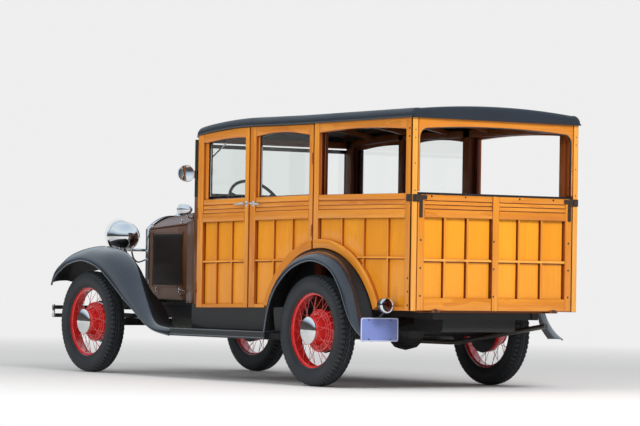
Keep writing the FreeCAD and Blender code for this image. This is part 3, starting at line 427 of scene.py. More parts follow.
def paint(name, base, rough=0.25, coat=0.8, metallic=0, dust_and_sheen=None):
    """Sprayed paint with a faint orange peel and patches of a second colour: thin dust on most paints, a
    bluish painted sheen on the black.
    """
    material, tree, bsdf = shader(name)
    place = place_in(tree)
    cloud = noise(tree, place, 2.4, 4, 0.6)
    speck = noise(tree, place, 90, 3, 0.6)
    dust_and_sheen_tint = dust_and_sheen if dust_and_sheen else scaled(base, 1.6, 0.01)
    feed(tree, bsdf, {"Base Color": blend(tree, band(tree, cloud, 0.45, 0.75, 0, 0.28), base, dust_and_sheen_tint),
                      "Roughness": band(tree, speck, 0.35, 0.75, rough - 0.04, rough + 0.12),
                      "Metallic": metallic, "Coat Weight": coat, "Coat Roughness": 0.06})
    bump(tree, bsdf, noise(tree, place, 140, 2, 0.5), 0.0002, 0.35)
    return material


def metal(name, base, rough=0.08, spread=0.10, scale=18, pitted=0):
    """Plated or bare metal with faint smears; pitted adds casting grain and rust tones."""
    material, tree, bsdf = shader(name)
    place = place_in(tree)
    smear = noise(tree, place, scale, 4, 0.65)
    tint = blend(tree, band(tree, smear, 0.4, 0.8, 0, 0.5), base, scaled(base, 0.72))
    if pitted:
        rust = noise(tree, place, 55, 5, 0.7)
        tint = blend(tree, band(tree, rust, 0.5, 0.75, 0, pitted), tint, colour(96, 54, 34))
    feed(tree, bsdf, {"Base Color": tint, "Roughness": band(tree, smear, 0.3, 0.8, rough, rough + spread),
                      "Metallic": 0.75 if pitted else 1})
    bump(tree, bsdf, noise(tree, place, 260 if pitted else 60, 3, 0.6), 0.0006 if pitted else 0.0001, 0.4)
    return material


def rubber(name, base, dusty, rough=0.72):
    material, tree, bsdf = shader(name)
    place = place_in(tree)
    cloud = noise(tree, place, 9, 5, 0.65)
    tint = blend(tree, band(tree, cloud, 0.42, 0.75, 0, 0.5), base, dusty)
    # The tone paints light and shade: on the tyre, lighter tread tops and sidewall band and darker grooves.
    bright = tone_in(tree)
    level = node(tree, "CombineColor", {0: bright, 1: bright, 2: bright}).outputs[0]
    feed(tree, bsdf, {"Base Color": blend(tree, 1, tint, level, "MULTIPLY"),
                      "Roughness": band(tree, cloud, 0.3, 0.8, rough - 0.12, rough + 0.10),
                      "Specular IOR Level": 0.35})
    bump(tree, bsdf, noise(tree, place, 210, 2, 0.6), 0.0005, 0.5)
    return material


def hide(name, base, dark, scale=240, rough=0.5, sheen=0):
    """Grained leather cloth: cells pressed in, darker in the creases."""
    material, tree, bsdf = shader(name)
    place = place_in(tree)
    cell = node(tree, "TexVoronoi", {"Vector": place, "Scale": scale}, feature="DISTANCE_TO_EDGE").outputs[0]
    cloud = noise(tree, place, 3, 4, 0.6)
    crease = band(tree, cell, 0, 0.12)
    worn = blend(tree, band(tree, cloud, 0.35, 0.7), base, scaled(base, 1.35))
    feed(tree, bsdf, {"Base Color": blend(tree, crease, dark, worn), "Sheen Weight": sheen,
                      "Roughness": band(tree, cloud, 0.3, 0.75, rough - 0.08, rough + 0.12)})
    bump(tree, bsdf, crease, 0.0007, 0.6)
    return material


def glass(name, tint, rough=0):
    material, tree, bsdf = shader(name)
    film = noise(tree, place_in(tree), 6, 4, 0.6)
    feed(tree, bsdf, {"Base Color": tint, "Transmission Weight": 1, "IOR": 1.45,
                      "Roughness": band(tree, film, 0.5, 0.9, rough, rough + 0.04)})
    return material


frame_wood = wood("frame_wood", colour(226, 150, 52), colour(196, 112, 28))
pale_wood = wood("pale_wood", colour(240, 178, 84), colour(214, 140, 50))
board_wood = wood("board_wood", colour(236, 156, 38), colour(218, 130, 24), contrast=0.7)
# Groove shade wood: dark reddish wood that paints the shade in grooves, gaps and shadow strips; the hinges
# take it too, to blend in.
groove_shade_wood = wood("groove_shade_wood", colour(168, 90, 36), colour(132, 62, 22), 0.45, 0.1)
inner_wood = wood("inner_wood", colour(150, 84, 34), colour(104, 52, 20), 0.45, 0.15)
roof_cloth = hide("roof_cloth", colour(25, 34, 45), colour(15, 20, 27), 320, 0.36)
lining = hide("lining", colour(64, 50, 40), colour(44, 34, 28), 300, 0.8, 0.2)
# The black's blue cast and its lighter bluish patches are painted sky sheen.
black = paint("black_paint", colour(16, 23, 33), 0.30, 1, dust_and_sheen=colour(44, 60, 80))
# Bead paint: a lighter blue-grey on rolled edges, a painted highlight.
bead_highlight = paint("bead_highlight_paint", colour(76, 84, 94), 0.22, 0.9, 0.4, dust_and_sheen=colour(100, 106, 112))
board_black = paint("board_black", colour(12, 15, 19), 0.40, 0.25, dust_and_sheen=colour(24, 29, 35))
under_black = paint("under_paint", colour(16, 17, 19), 0.55, 0.05, dust_and_sheen=colour(40, 37, 34))
brown = paint("brown_paint", colour(112, 66, 30), 0.34, 0.25, 0.55, dust_and_sheen=colour(120, 78, 44))
# Louvre paint: dark brown, painted shade in the louvres' openings.
louvre_shade_paint = paint("louvre_shade_paint", colour(30, 22, 18), 0.4, 0.2, 0.2, colour(48, 36, 28))
red = paint("red_paint", colour(216, 44, 44), 0.24, 0.9, dust_and_sheen=colour(150, 32, 30))
# Spoke paint: a paler, greyer red that paints the spokes' highlights.
spoke_highlight_red = paint("spoke_highlight_paint", colour(206, 90, 84), 0.25, 0.8, 0.35, dust_and_sheen=colour(200, 110, 100))
chrome = metal("chrome", colour(226, 228, 230), 0.04, 0.06)
steel = metal("steel", colour(120, 118, 114), 0.30, 0.2)
iron = metal("iron", colour(84, 70, 62), 0.42, 0.2, 30, 0.35)
tyre = rubber("tyre_rubber", colour(34, 37, 41), colour(56, 58, 60), 0.6)
mat = rubber("board_rubber", colour(24, 28, 33), colour(48, 50, 52), 0.5)
leather = hide("seat_leather", colour(58, 40, 30), colour(34, 22, 16), 200, 0.42)
control = paint("control_black", colour(16, 16, 17), 0.28, 0.7)
pane = glass("pane", (0.93, 0.96, 0.95, 1))
lens_glass = glass("lens_glass", (0.96, 0.97, 0.98, 1), 0.06)
red_glass = glass("red_glass", colour(190, 14, 16), 0.05)
blank = paint("blank_plate", colour(112, 128, 190), 0.35, 0.3, dust_and_sheen=colour(120, 134, 192))
blank_rim = paint("blank_rim", colour(196, 200, 222), 0.35, 0.3)
engine = paint("engine_paint", colour(60, 72, 62), 0.55, 0.1, dust_and_sheen=colour(70, 66, 58))


def dress(materials):
    """Materials for the nodes that stay as they are."""
    for material, names in materials:
        for name in names:
            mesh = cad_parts[name].data
            mesh.materials.clear()
            mesh.materials.append(material)


dress([
    (under_black, ["chassis_frame", "front_axle", "leaf_springs", "knuckle_left", "knuckle_right",
                   "rear_axle", "fuel_tank"]),
    (engine, ["power_unit"]),
    (steel, ["exhaust", "radiator_core"]),
    (pane, ["glazing"] + [f"{end}_door_glass_{word}" for end in ("front", "rear") for side, word in sides]),
    (control, ["steering_column", "windscreen_frame"]),
    (inner_wood, ["floor"]),
])


# Wooden body

wood_marks = [frame_wood, board_wood, inner_wood, pale_wood, iron, control, groove_shade_wood]
mark_board, mark_inner, mark_pale, mark_iron, mark_dark, mark_groove_shade = range(1, 7)
body_half, board_back, batten_back = 675, 22, 6
belt_low, board_low, bottom = 1087, 530, 505
door_inner = 633
post_outer, post_inner = 627, 585
arch_y, arch_z, arch_radius, moulding = 1341, 263, 632, 60
arch_outer = arch_radius + moulding - 8
body_front, gate_line, body_rear = -118, 2271, 2318
roof_front, roof_break, roof_rear, roof_level = -205, 560, 2334, 1703
belt_rails = ((1203, 1243, -1, 9), (1173.5, 1201, -4, 5), (1147, 1171.5, -4, 5), (1087, 1145, 3, 7))

side_walls = {
    "front_door": {"edges": (-112, 506), "panel": (-44, 462), "battens": (118, 302), "middle": 819,
                   "window": (-6, 448), "tops": (1600, 1624, 1630)},
    "rear_door": {"edges": (532, 1245), "panel": (588, 1203), "battens": (796, 1010), "middle": 820,
                  "window": (608, 1190), "tops": (1635, 1658, 1635)},
    "quarter": {"edges": (1257, 2318), "panel": (1310, 2246), "battens": (1564, 1801, 2059),
                "middle": 839, "window": (1316, 2262), "tops": (1645, 1664, 1645)},
}


def roof_line(y):
    """Height of the roof's edge, which falls to the front and rises a little to the rear."""
    if y < roof_break:
        return roof_level - 65 * ((roof_break - y) / (roof_break - roof_front)) ** 1.7
    return roof_level + 17 * (y - roof_break) / (roof_rear - roof_break)


def arch_top(y, radius):
    rest = radius ** 2 - (y - arch_y) ** 2
    return arch_z + sqrt(rest) if rest > 0 else -1000


def column(span, low, high, steps=10):
    """Outline between two curves of height over a span."""
    at = [span[0] + (span[1] - span[0]) * i / steps for i in range(steps + 1)]
    return [(y, low(y)) for y in at] + [(y, high(y)) for y in reversed(at)]


def level(z):
    return lambda y: z


class Bay:
    """One bay of the side: a door, or the quarter behind it. drop is its gap under the roof line."""

    def __init__(self, name, drop=0):
        row = side_walls[name]
        self.name, self.drop = name, drop
        (self.front, self.rear), self.panel, self.window = row["edges"], row["panel"], row["window"]
        self.joints = [self.panel[0], *row["battens"], self.panel[1]]
        self.tops, self.middle = row["tops"], row["middle"]

    def foot(self, base, radius=arch_outer):
        """Curve of a lower edge: a height, or the wheel arch where that is higher."""
        return lambda y: base if self.name == "front_door" else max(base, arch_top(y, radius))

    def head(self, y):
        """Height of the window's head."""
        (start, end), (first, middle, last) = self.window, self.tops
        t = min(max((y - start) / (end - start), 0), 1)
        return first * (1 - t) * (1 - 2 * t) + 4 * middle * t * (1 - t) + last * t * (2 * t - 1)

    def top(self, y):
        return roof_line(y) - self.drop

    def beside_arch(self, z):
        """Span of the panel that the wheel arch leaves at a height."""
        reach = sqrt(max(arch_outer ** 2 - (z - arch_z) ** 2, 0))
        start, end = self.panel
        return {"front_door": (start, end), "rear_door": (start, arch_y - reach),
                "quarter": (arch_y + reach, end)}[self.name]


def bay_frame(piece, bay):
    """Stiles, window reveals and top rail."""
    (p0, p1), (w0, w1) = bay.panel, bay.window
    for span in ((bay.front, p0), (p1, bay.rear)):
        timber(piece, "x", column(span, bay.foot(bottom), bay.top, 6), (door_inner, body_half), "z", 4)
    # Window reveals: their sides take strong painted shade.
    for span in ((p0, w0), (w1, p1)):
        if span[1] - span[0] > 2:
            timber(piece, "x", column(span, level(sill - 2), bay.head, 1), (door_inner, body_half - 18),
                   "z", 3, tone=0.02, shade=0.8)
    timber(piece, "x", column((min(p0, w0), max(p1, w1)), bay.head, bay.top, 16),
           (door_inner, body_half - 1), "y", 3)


def bay_belt(piece, bay):
    """Rails under the window; the grooves between them are dark with painted shade."""
    for low, high, proud, edge in belt_rails:
        timber(piece, "x", rectangle(bay.panel, (low, high)), (door_inner, body_half + proud), "y", edge,
               shade=0.3)
    timber(piece, "x", rectangle(bay.panel, (belt_low, sill)), (door_inner, body_half - 9), "y", 1,
           mark_groove_shade)


def bay_boards(piece, bay):
    """Set-back boards, battens over their joints, and a batten across the middle with a painted shadow strip
    under it.
    """
    board_face, half = body_half - board_back, 7
    for a, b in zip(bay.joints, bay.joints[1:]):
        low = bay.foot(board_low - 4)
        if low((a + b) / 2) < belt_low - 10 or low(b) < belt_low - 10:
            # The wide gap beside the front stile shows the dark backing as painted shade.
            gap = 9 if a == bay.panel[0] else 0.6
            timber(piece, "x", column((a + gap, b - 0.6), low, level(belt_low + 4), 12),
                   (door_inner + 4, board_face), "z", 1, mark_board, 0.04)
    for at in bay.joints[1:-1]:
        low = bay.foot(board_low)
        if low(at) < belt_low - 4:
            timber(piece, "x", column((at - half, at + half), low, level(belt_low), 2),
                   (board_face - 2, body_half - batten_back), "z", 2.5, 0, 0.04, tone=0.08, shade=0.5)
    span, middle = bay.beside_arch(821), bay.middle
    timber(piece, "x", rectangle(span, (middle - half, middle + half)),
           (board_face - 2, body_half - batten_back + 0.5), "y", 2.5, 0, 0.04, tone=0.12, shade=0.5)
    # Painted shadow: a dark strip under the middle batten.
    timber(piece, "x", rectangle(span, (middle - half - 6, middle - half)),
           (board_face - 2, board_face + 0.6), "y", 0.3, mark_groove_shade, 0.02, tone=-0.15)


def bay_foot(piece, bay):
    """Bottom rail, and the backing behind the boards, whose dark wood shows in their gaps as painted shade.
    """
    timber(piece, "x", rectangle(bay.beside_arch(board_low), (bottom, board_low)), (door_inner, body_half),
           "y", 3)
    backing = column((bay.front + 1, bay.rear - 1), bay.foot(bottom, arch_radius + 2), level(sill - 1), 40)
    timber(piece, "x", backing, (body_half - board_back - 3, door_inner), "z", 1, mark_groove_shade)


def around_arch(point):
    """Grain that bends round the wheel arch."""
    y, z = point[1] - arch_y, point[2] - arch_z
    return atan2(z, y) * 660, hypot(z, y), point[0]


def bay_moulding(piece, bay):
    """Moulding round the wheel arch, cut off at the bay's edge."""
    low = asin((bottom - arch_z) / arch_radius)
    edge, limit = (bay.rear, min) if bay.name == "rear_door" else (bay.front, max)
    cut = acos((edge - arch_y) / (arch_radius + moulding / 2))
    start, end = (cut, pi - low) if bay.name == "rear_door" else (low, cut)
    turns = [start + (end - start) * i / 24 for i in range(25)]

    def ring(radius):
        return [(limit(arch_y + radius * cos(a), edge), arch_z + radius * sin(a)) for a in turns]
    outer = [(y, max(z, bottom)) for y, z in reversed(ring(arch_radius + moulding))]
    timber(piece, "x", ring(arch_radius) + outer, (door_inner, body_half + 3), "y", 4, curve=around_arch)


def side_wall(piece, bay):
    for part in (bay_frame, bay_belt, bay_boards, bay_foot):
        part(piece, bay)
    if bay.name != "front_door":
        bay_moulding(piece, bay)


def window_channel(piece, bay):
    """Dark channel round a door's window."""
    x, (start, end) = 645, bay.window
    along = [start + (end - start) * i / 16 for i in range(17)]
    path = [(x, start, sill)] + [(x, y, bay.head(y)) for y in along] + [(x, end, sill)]
    tube(piece, path, 5, 8, mark_dark, True)


def door_hinge(piece, edge, away, z, plate, mark, moving):
    """Half of a hinge: the door's middle knuckle, or the post's two outer ones with the pin."""
    x = body_half + 3
    spans = [(z - 11.7, z + 11.7)] if moving else [(z - 36, z - 12), (z + 12, z + 36)]
    for low, high in spans:
        lathe(piece, [(low, 0), (low, 4), (low + 1, 5), (high - 1, 5), (high, 4), (high, 0)],
              (x, edge, 0), to_top, 16, mark)
        reach = away * 10 if moving else -away * 8
        beam(piece, (plate, x), sorted((edge, edge + reach)), (low, high), "z", 0.8, mark)
    if not moving:
        lathe(piece, [(z - 39, 0), (z - 38, 3), (z - 36, 3.5), (z + 36, 3.5), (z + 38, 3), (z + 39, 0)],
              (x, edge, 0), to_top, 12, mark)


door_rows = (("front_door", -112, 1, (620, 1130)), ("rear_door", 1245, -1, (1010, 1480)))

for side, word in sides:
    for name, edge, away, heights in door_rows:
        door, bay = Piece(side, True), Bay(name, 5)
        side_wall(door, bay)
        window_channel(door, bay)
        for z in heights:
            door_hinge(door, edge, away, z, body_half, mark_groove_shade, True)
        door.make(f"{name}_wood_{word}", f"{name}_{word}", wood_marks, "wood", [f"{name}_{word}"])


def side_posts(wall):
    """Posts, inner boarding, cant rail and sills behind the side's outer faces."""
    for front, rear, inner in ((body_front, -60, post_inner), (496, 542, post_inner),
                               (1215, 1290, post_inner), (2215, gate_line, post_inner + 15)):
        timber(wall, "x", column((front, rear), level(bottom), roof_line, 2), (post_outer, inner), "z", 3,
               mark_inner)
    timber(wall, "x", column((511, 527), level(bottom), roof_line, 2), (post_outer, body_half - 8), "z", 2)
    timber(wall, "x", column((1257, 1327), level(sill), roof_line, 2), (post_outer, door_inner), "z", 1,
           mark_inner)
    timber(wall, "x", column((1257, gate_line), lambda y: max(bottom, arch_top(y, arch_radius)),
                             level(sill), 40), (door_inner, post_outer), "z", 1, mark_inner)
    timber(wall, "x", column((body_front, gate_line), lambda y: roof_line(y) - 48, roof_line, 24),
           (post_outer, post_inner), "y", 3, mark_inner)
    for span in ((body_front, 740), (1940, gate_line)):
        beam(wall, (post_inner - 25, post_outer), span, (bottom, 540), "y", 2, mark_inner)


for side, word in sides:
    wall = Piece(side, True)
    side_wall(wall, Bay("quarter"))
    side_posts(wall)
    for z in (1010, 1480):
        door_hinge(wall, 1245, -1, z, body_half - 10, mark_groove_shade, False)
    wall.make(f"side_wood_{word}", "wagon", wood_marks, "wood", once(side, "body_sides", "body_frame"))


# Tailgate: boards between rails, with corner latches

gate_half, gate_low, gate_high = 628, 509, 1250
gate_battens = (-380, -194, 226, 408)
outer_stile, stile_right, stile_left = 574, -24, 28
gate_thick, rail_top, rail_low = 42, 588, 1093


def gate_frame(piece, face, back):
    """Stiles at the ends and in the middle."""
    for span, proud in (((-gate_half, -outer_stile), 0), ((outer_stile, gate_half), 0),
                        ((stile_right, stile_left), 1)):
        timber(piece, "y", rectangle(span, (gate_low, sill)), (back, face + proud), "z", 3.5)


def gate_field(piece, a, b, face, back):
    """Rails, boards and battens between two stiles, with painted shade in their gaps and under the middle
    rail.
    """
    for low, high, proud in ((1199.5, sill, 0), (1174, 1196.5, -2.5), (1147.5, 1170.5, -2.5),
                             (rail_low, 1144, 2)):
        timber(piece, "y", rectangle((a, b), (low, high)), (back, face + proud), "x", 4)
    # The inner wood behind the rails shows in their grooves as painted shade.
    timber(piece, "y", rectangle((a, b), (rail_low, sill)), (back, face - 9), "x", 1, mark_inner)
    timber(piece, "y", rectangle((a, b), (gate_low, rail_top)), (back, face), "x", 3.5)
    joints = [a] + [x for x in gate_battens if a < x < b] + [b]
    for c, d in zip(joints, joints[1:]):
        # The gap at each board's low end shows the dark backing beside a batten or stile as painted shade.
        gap = 13 if c > a else 12
        timber(piece, "y", rectangle((c + gap, d - 0.6), (rail_top - 4, rail_low + 4)),
               (back + 4, face - 20), "z", 1, mark_board, 0.05, tone=0.04)
    for x in joints[1:-1]:
        timber(piece, "y", rectangle((x - 8, x + 8), (rail_top, rail_low)), (face - 22, face - 3), "z", 2.5,
               shade=0.6)
    timber(piece, "y", rectangle((a, b), (818, 834)), (face - 22, face - 2.5), "x", 2.5, mark_pale)
    # Painted shadow: a dark strip under the middle rail.
    timber(piece, "y", rectangle((a, b), (812, 818)), (face - 22, face - 19.4), "x", 0.3,
           mark_groove_shade, 0.02, tone=-0.2)


def gate_wood(piece, face, back):
    gate_frame(piece, face, back)
    gate_field(piece, -outer_stile, stile_right, face, back)
    gate_field(piece, stile_left, outer_stile, face, back)
    # Backing in groove shade wood, seen in the boards' gaps as painted shade.
    timber(piece, "y", rectangle((-gate_half, gate_half), (gate_low, sill)), (face - 24, back), "z", 1,
           mark_groove_shade)
    # Painted shade: a dark strip beside the middle stile.
    beam(piece, (stile_left, stile_left + 4), (face - 24, face + 2.6), (gate_low + 1, sill - 8), "z", 0.5,
         mark_inner, tone=-0.3)
    beam(piece, (-gate_half, gate_half), (back, face + 3), (sill - 7, gate_high), "x", 2, mark_dark)


def screws(piece, spots, way, radius=7, mark=mark_iron):
    """Screw heads standing 1.5 mm proud."""
    for spot in spots:
        lathe(piece, [(-2, 0), (-2, radius), (0.4, radius), (1.2, radius * 0.7), (1.5, 0)], spot, way, 12,
              mark)


def corner_latch(piece, s, face):
    """Iron corner piece that hooks the gate: an arm across and a leg down."""
    beam(piece, sorted((s * 560, s * 626)), (face - 1, face + 7), (1205, 1232), "x", 1.5, mark_iron)
    beam(piece, sorted((s * 592, s * 618)), (face - 1, face + 6), (1092, 1210), "z", 1.5, mark_iron)
    for x, z in ((s * 605, 1110), (s * 605, 1160), (s * 572, 1222)):
        lathe(piece, [(0, 0), (0, 5), (2.5, 4.5), (3.5, 0)], (x, face + 6, z), to_rear, 10, mark_iron)


gate = Piece()
gate_wood(gate, body_rear, body_rear - gate_thick)
for x in (-480, 480):
    lathe(gate, [(-14, 0), (-14, 8), (-13, 9), (13, 9), (14, 8), (14, 0)], (x, 2320, bottom), to_left, 18,
          mark_iron)
    beam(gate, (x - 14, x + 14), (2306, 2320), (506, 518), "z", 1, mark_iron)
screw_heights = (600, 775, 950)
screws(gate, [(x, body_rear, z) for x in (602, -602) for z in screw_heights]
       + [(stile_left - 12, body_rear + 1, z) for z in screw_heights]
       + [(x, body_rear, 1226) for x in (520, 250, -190, -470)], to_rear)
for s in (1, -1):
    corner_latch(gate, s, body_rear)
gate.make("tailgate_wood", "tailgate", wood_marks, "wood", ["tailgate"])


# Rear frame, cross bows and slats under the roof

def rounded_opening(half, low, top, middle, corner):
    """Opening outline with rounded top corners and a gently arched head."""
    left = arc((-half, top - corner), (-half + corner * 0.29, top - corner * 0.29), (-half + corner, top), 8)
    head = arc((-half + corner, top), (0, middle), (half - corner, top), 16)
    right = arc((half - corner, top), (half - corner * 0.29, top - corner * 0.29), (half, top - corner), 8)
    return [(-half, low)] + left + head[1:-1] + right + [(half, low)]


def roof_bow(piece, y, half=627):
    base = roof_line(y)
    outer = arc((-half, base - 6), (0, base + 69), (half, base - 6), 24)
    inner = arc((-half, base - 34), (0, base + 38), (half, base - 34), 24)
    timber(piece, "y", outer + list(reversed(inner)), (y - 20, y + 20), "x", 2, mark_inner)


def roof_slat(piece, x, half=17, thick=6):
    sections = []
    for y in range(-80, 2260, 90):
        z = roof_line(y) + 70 - 70 * (x / 640) ** 2 - 2
        sections.append([(u, y, v) for u, v in rectangle((x - half, x + half), (z, z + thick))])
    loft(piece, sections, mark_inner)


rear_frame = Piece(1, True)
high = roof_line(2300) - 1
opening = rounded_opening(618, 1256, 1655, 1676, 60)
outline = [(629.5, 1256), (629.5, high), (-629.5, high), (-629.5, 1256)] + opening
timber(rear_frame, "y", outline, (gate_line, body_rear), "x", 3)
tube(rear_frame, [(x, body_rear - 10, z) for x, z in opening], 7, 8, mark_dark)
for y in (180, 610, 1040, 1470, 1900):
    roof_bow(rear_frame, y)
for index in range(9):
    roof_slat(rear_frame, -520 + index * 130)
front_top = roof_line(body_front)
beam(rear_frame, (-627, 627), (-150, body_front), (front_top - 44, front_top - 2), "x", 2, mark_inner)
rear_frame.make("roof_frame_wood", "wagon", wood_marks, "wood", ["roof_frame"])


# Roof cloth over its frame

roof_half, roof_bend = 686, 24
roof_stations = ((roof_front, 78, 61), (-180, 48, 65), (-150, 29, 70), (-110, 15, 75), (40, 4, 83),
                 (250, 1, 87), (roof_break, 0, 89), (1100, 0, 89), (1700, 0, 89), (roof_rear, 0, 89))


def roof_ring(y, draw, crown, fall=0, shift=0):
    """Section of the roof at y: draw narrows it, fall lowers it, shift sets it inward for the lining."""
    base = roof_line(y)
    half = roof_half - draw - shift - fall
    rise, side = 58 - shift * 0.8 - fall, base + 20 - fall * 0.4
    foot, shoulder = (half, base - 3), (half - 66 + shift * 0.5, base + rise)
    bend = (half - 16.5, side + (rise - 20) * 0.7)
    edge = arc((half, side), bend, shoulder, 9)
    crown_arc = arc(shoulder, (0, base + crown - shift - fall), (-shoulder[0], shoulder[1]), 31)
    flat = [foot] + edge + crown_arc[1:-1] + [(-x, z) for x, z in reversed(edge)] + [(-foot[0], foot[1])]
    return [(x, y, z) for x, z in flat]


def roof_end(y, way, draw, crown, narrowing):
    """Rings of a rolled edge, from the roof's end inward."""
    rings = []
    for turn in (0, 20, 40, 60, 80):
        in_by = 1 - cos(radians(turn))
        fall = roof_bend * (1 - sin(radians(turn)))
        rings.append(roof_ring(y + way * roof_bend * in_by, draw - narrowing * in_by, crown, fall))
    return rings


roof = Piece(1, True)
rows = smooth(roof_stations, 7)
outer = roof_end(roof_front, 1, 78, 61, 26)
outer += [roof_ring(*row) for row in rows if -175 < row[0] < 2305]
outer += list(reversed(roof_end(roof_rear, -1, 0, 89, 0)))
loft(roof, outer, 0, False, False)
cap = tuple(range(len(outer[0])))
roof.add(outer[0], [tuple(reversed(cap))])
roof.add(outer[-1], [cap])
inner = [roof_ring(*row, 0, 12) for row in rows if -190 < row[0] < 2320]
loft(roof, [list(reversed(ring)) for ring in inner], 1, False, False)
for s in (1, -1):
    strip = []
    for y, draw, crown in rows:
        pair = [(s * (roof_half - draw), y, roof_line(y) - 3), (s * (632 - draw * 0.4), y, roof_line(y) - 3)]
        strip.append(pair if s < 0 else list(reversed(pair)))
    loft(roof, strip, 0, False, False)
    tube(roof, [(s * (roof_half - 2 - draw), min(max(y, -199), 2326), roof_line(y) + 2)
                for y, draw, crown in rows], 5.5, 8, 2)
for places, y in ((range(-684, 685, 72), 2327), (range(-600, 601, 75), -199)):
    tube(roof, [(x, y, roof_line(y) + 2) for x in places], 5.5, 8, 2)
roof.make("roof_cloth", "wagon", [roof_cloth, lining, control], "roof_fabric", ["roof"], 50)


# Wheels and tyres

tyre_radius, wheel_x, axle_y = 361, 717, 1384.5


def spoke(piece, index):
    """One of the crossed spokes: outboard and inboard ones take turns, in pairs that lean either way."""
    outboard = index % 2 == 0
    lean = 21 if (index // 2) % 2 == 0 else -21
    foot_x, foot_radius = (58, 84) if outboard else (2, 112)
    head = radians(9 * index)
    foot = head + radians(lean)
    start = Vector((foot_x, foot_radius * sin(foot), foot_radius * cos(foot)))
    end = Vector((10 if outboard else -12, 232 * sin(head), 232 * cos(head)))
    tube(piece, [start, end.lerp(start, 0.05), end], [1.8, 1.8, 3.2], 8, 3)


def wheel_mesh():
    wheel, centre = Piece(), (0, 0, 0)
    rim = [(46, 257), (47.5, 254), (46.5, 249), (42, 244), (35, 242.5), (31.5, 241), (30, 233), (26, 229.5)]
    rim += [(-x, r) for x, r in reversed(rim)]
    rim += [(-43, 255), (-39, 246), (-20, 236), (20, 236), (39, 246), (43, 255)]
    lathe(wheel, rim, centre, to_left, 96, 0, True)
    hub = [(-58, 0), (-58, 132), (-55, 138), (-50, 140), (-16, 140), (-11, 138), (-9, 132), (-9, 124),
           (-3, 122), (-1, 118), (-2, 113), (6, 111), (8, 106), (7, 102), (18, 99), (30, 96), (46, 92),
           (60, 88), (68, 84), (72, 78), (72, 0)]
    lathe(wheel, hub, centre, to_left, 72, 0)
    cap = [(70, 78), (71, 86), (74, 89), (78, 88.5), (83, 82), (88, 70), (92, 54), (95, 34), (96.5, 14),
           (97, 0)]
    lathe(wheel, cap, centre, to_left, 64, 1)
    # Black rings at the rim's steps: painted shade in the grooves between flange and inner step.
    for s in (1, -1):
        line = [(s * 41, 246.5), (s * 44.6, 245.6), (s * 44.6, 243.4), (s * 41, 242.6)]
        lathe(wheel, line, centre, to_left, 96, 2, True)
    for index in range(40):
        spoke(wheel, index)
    tube(wheel, [(12, 0, 230), (30, 0, 214), (38, 0, 206)], [4, 3.6, 3.2], 10, 2)
    for index in range(5):
        turn = radians(72 * index + 18)
        lathe(wheel, [(8, 0), (8, 7), (14, 6.4), (15, 0)], (0, 103 * sin(turn), 103 * cos(turn)), to_left, 8)
    return wheel


def tread(x, turn):
    """Depth of the tread at x across the tyre; turn is the place along it, in pitches."""
    part = turn % 1
    zig = abs(part - 0.5) * 4 - 1
    across = abs(x)
    for line, wide in ((11, 2.6), (30, 3)):
        if abs(across - line - zig * 3.2) < wide:
            return 7
    if across > 33 and 0.30 < (part + (0.5 if x > 0 else 0)) % 1 < 0.66:
        return 6.5 * min(1, (across - 33) / 2)
    if 13 < across < 28 and (part + 0.12 * zig) % 1 < 0.16:
        return 4
    return 0


def tyre_mesh():
    side = [(40.5, 242), (45, 246), (49, 253), (50.5, 258), (53, 259.5), (54.5, 264), (57.5, 276),
            (60.5, 292), (62.3, 306), (62, 318), (60.5, 327), (59.8, 328.5), (60, 331), (58.6, 334)]
    top = [(57, 338), (55.2, 342.5), (52.6, 347), (49, 351), (45.5, 353.6), (42, 355.6), (38, 357.2),
           (34.5, 358.2), (31.5, 358.9), (28.5, 359.5), (25, 360), (20, 360.4), (15.5, 360.7), (12.5, 360.9),
           (9, 361), (5, 361), (0, 361)]
    half = side + top
    rows = half + [(-x, r) for x, r in reversed(half[:-1])]
    piece, pitches, per = Piece(), 66, 6
    steps = pitches * per
    points, faces, tones = [], [], []
    for x, r in rows:
        for step in range(steps):
            depth = 0
            if r > 337:
                depth = tread(x, step / per)
                if r < 352 and depth:
                    depth = 5 if r > 340 else 2.5
            turn = 2 * pi * step / steps
            points.append((x - copysign(depth * 0.5, x) if r < 352 else x, (r - depth) * sin(turn),
                           (r - depth) * cos(turn)))
            # Painted light: the tread's top and a band across the sidewall are lighter, and the grooves are
            # darker the deeper they are, as painted shade.
            tones.append(0.3 - 0.16 * depth if r > 337 else (0.35 if 268 < r < 318 else 0))
    for i in range(len(rows) - 1):
        low, high = i * steps, (i + 1) * steps
        for step in range(steps):
            after = (step + 1) % steps
            faces.append((low + after, low + step, high + step, high + after))
    piece.add(points, faces, 0, tone=tones)
    return piece


wheel_data = wheel_mesh().mesh("wheel_looks", [red, chrome, control, spoke_highlight_red], 35, 0)
tyre_data = tyre_mesh().mesh("tyre_looks", [tyre], 32, 0)
for end, y in (("front", -axle_y), ("rear", axle_y)):
    for side, word in sides:
        for data, kind, slot in ((wheel_data, "wheel", "paint_red"), (tyre_data, "tyre", "tyre_rubber")):
            made = bpy.data.objects.new(f"{kind}_looks_{end}_{word}", data)
            bpy.context.scene.collection.objects.link(made)
            turned = Matrix.Rotation(0 if side > 0 else pi, 4, "Z")
            made.matrix_world = Matrix.Translation(placed((side * wheel_x, y, tyre_radius))) @ turned
            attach(made, f"{end}_wheel_{word}")
            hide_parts(f"{kind}_{end}_{word}")


# Fenders

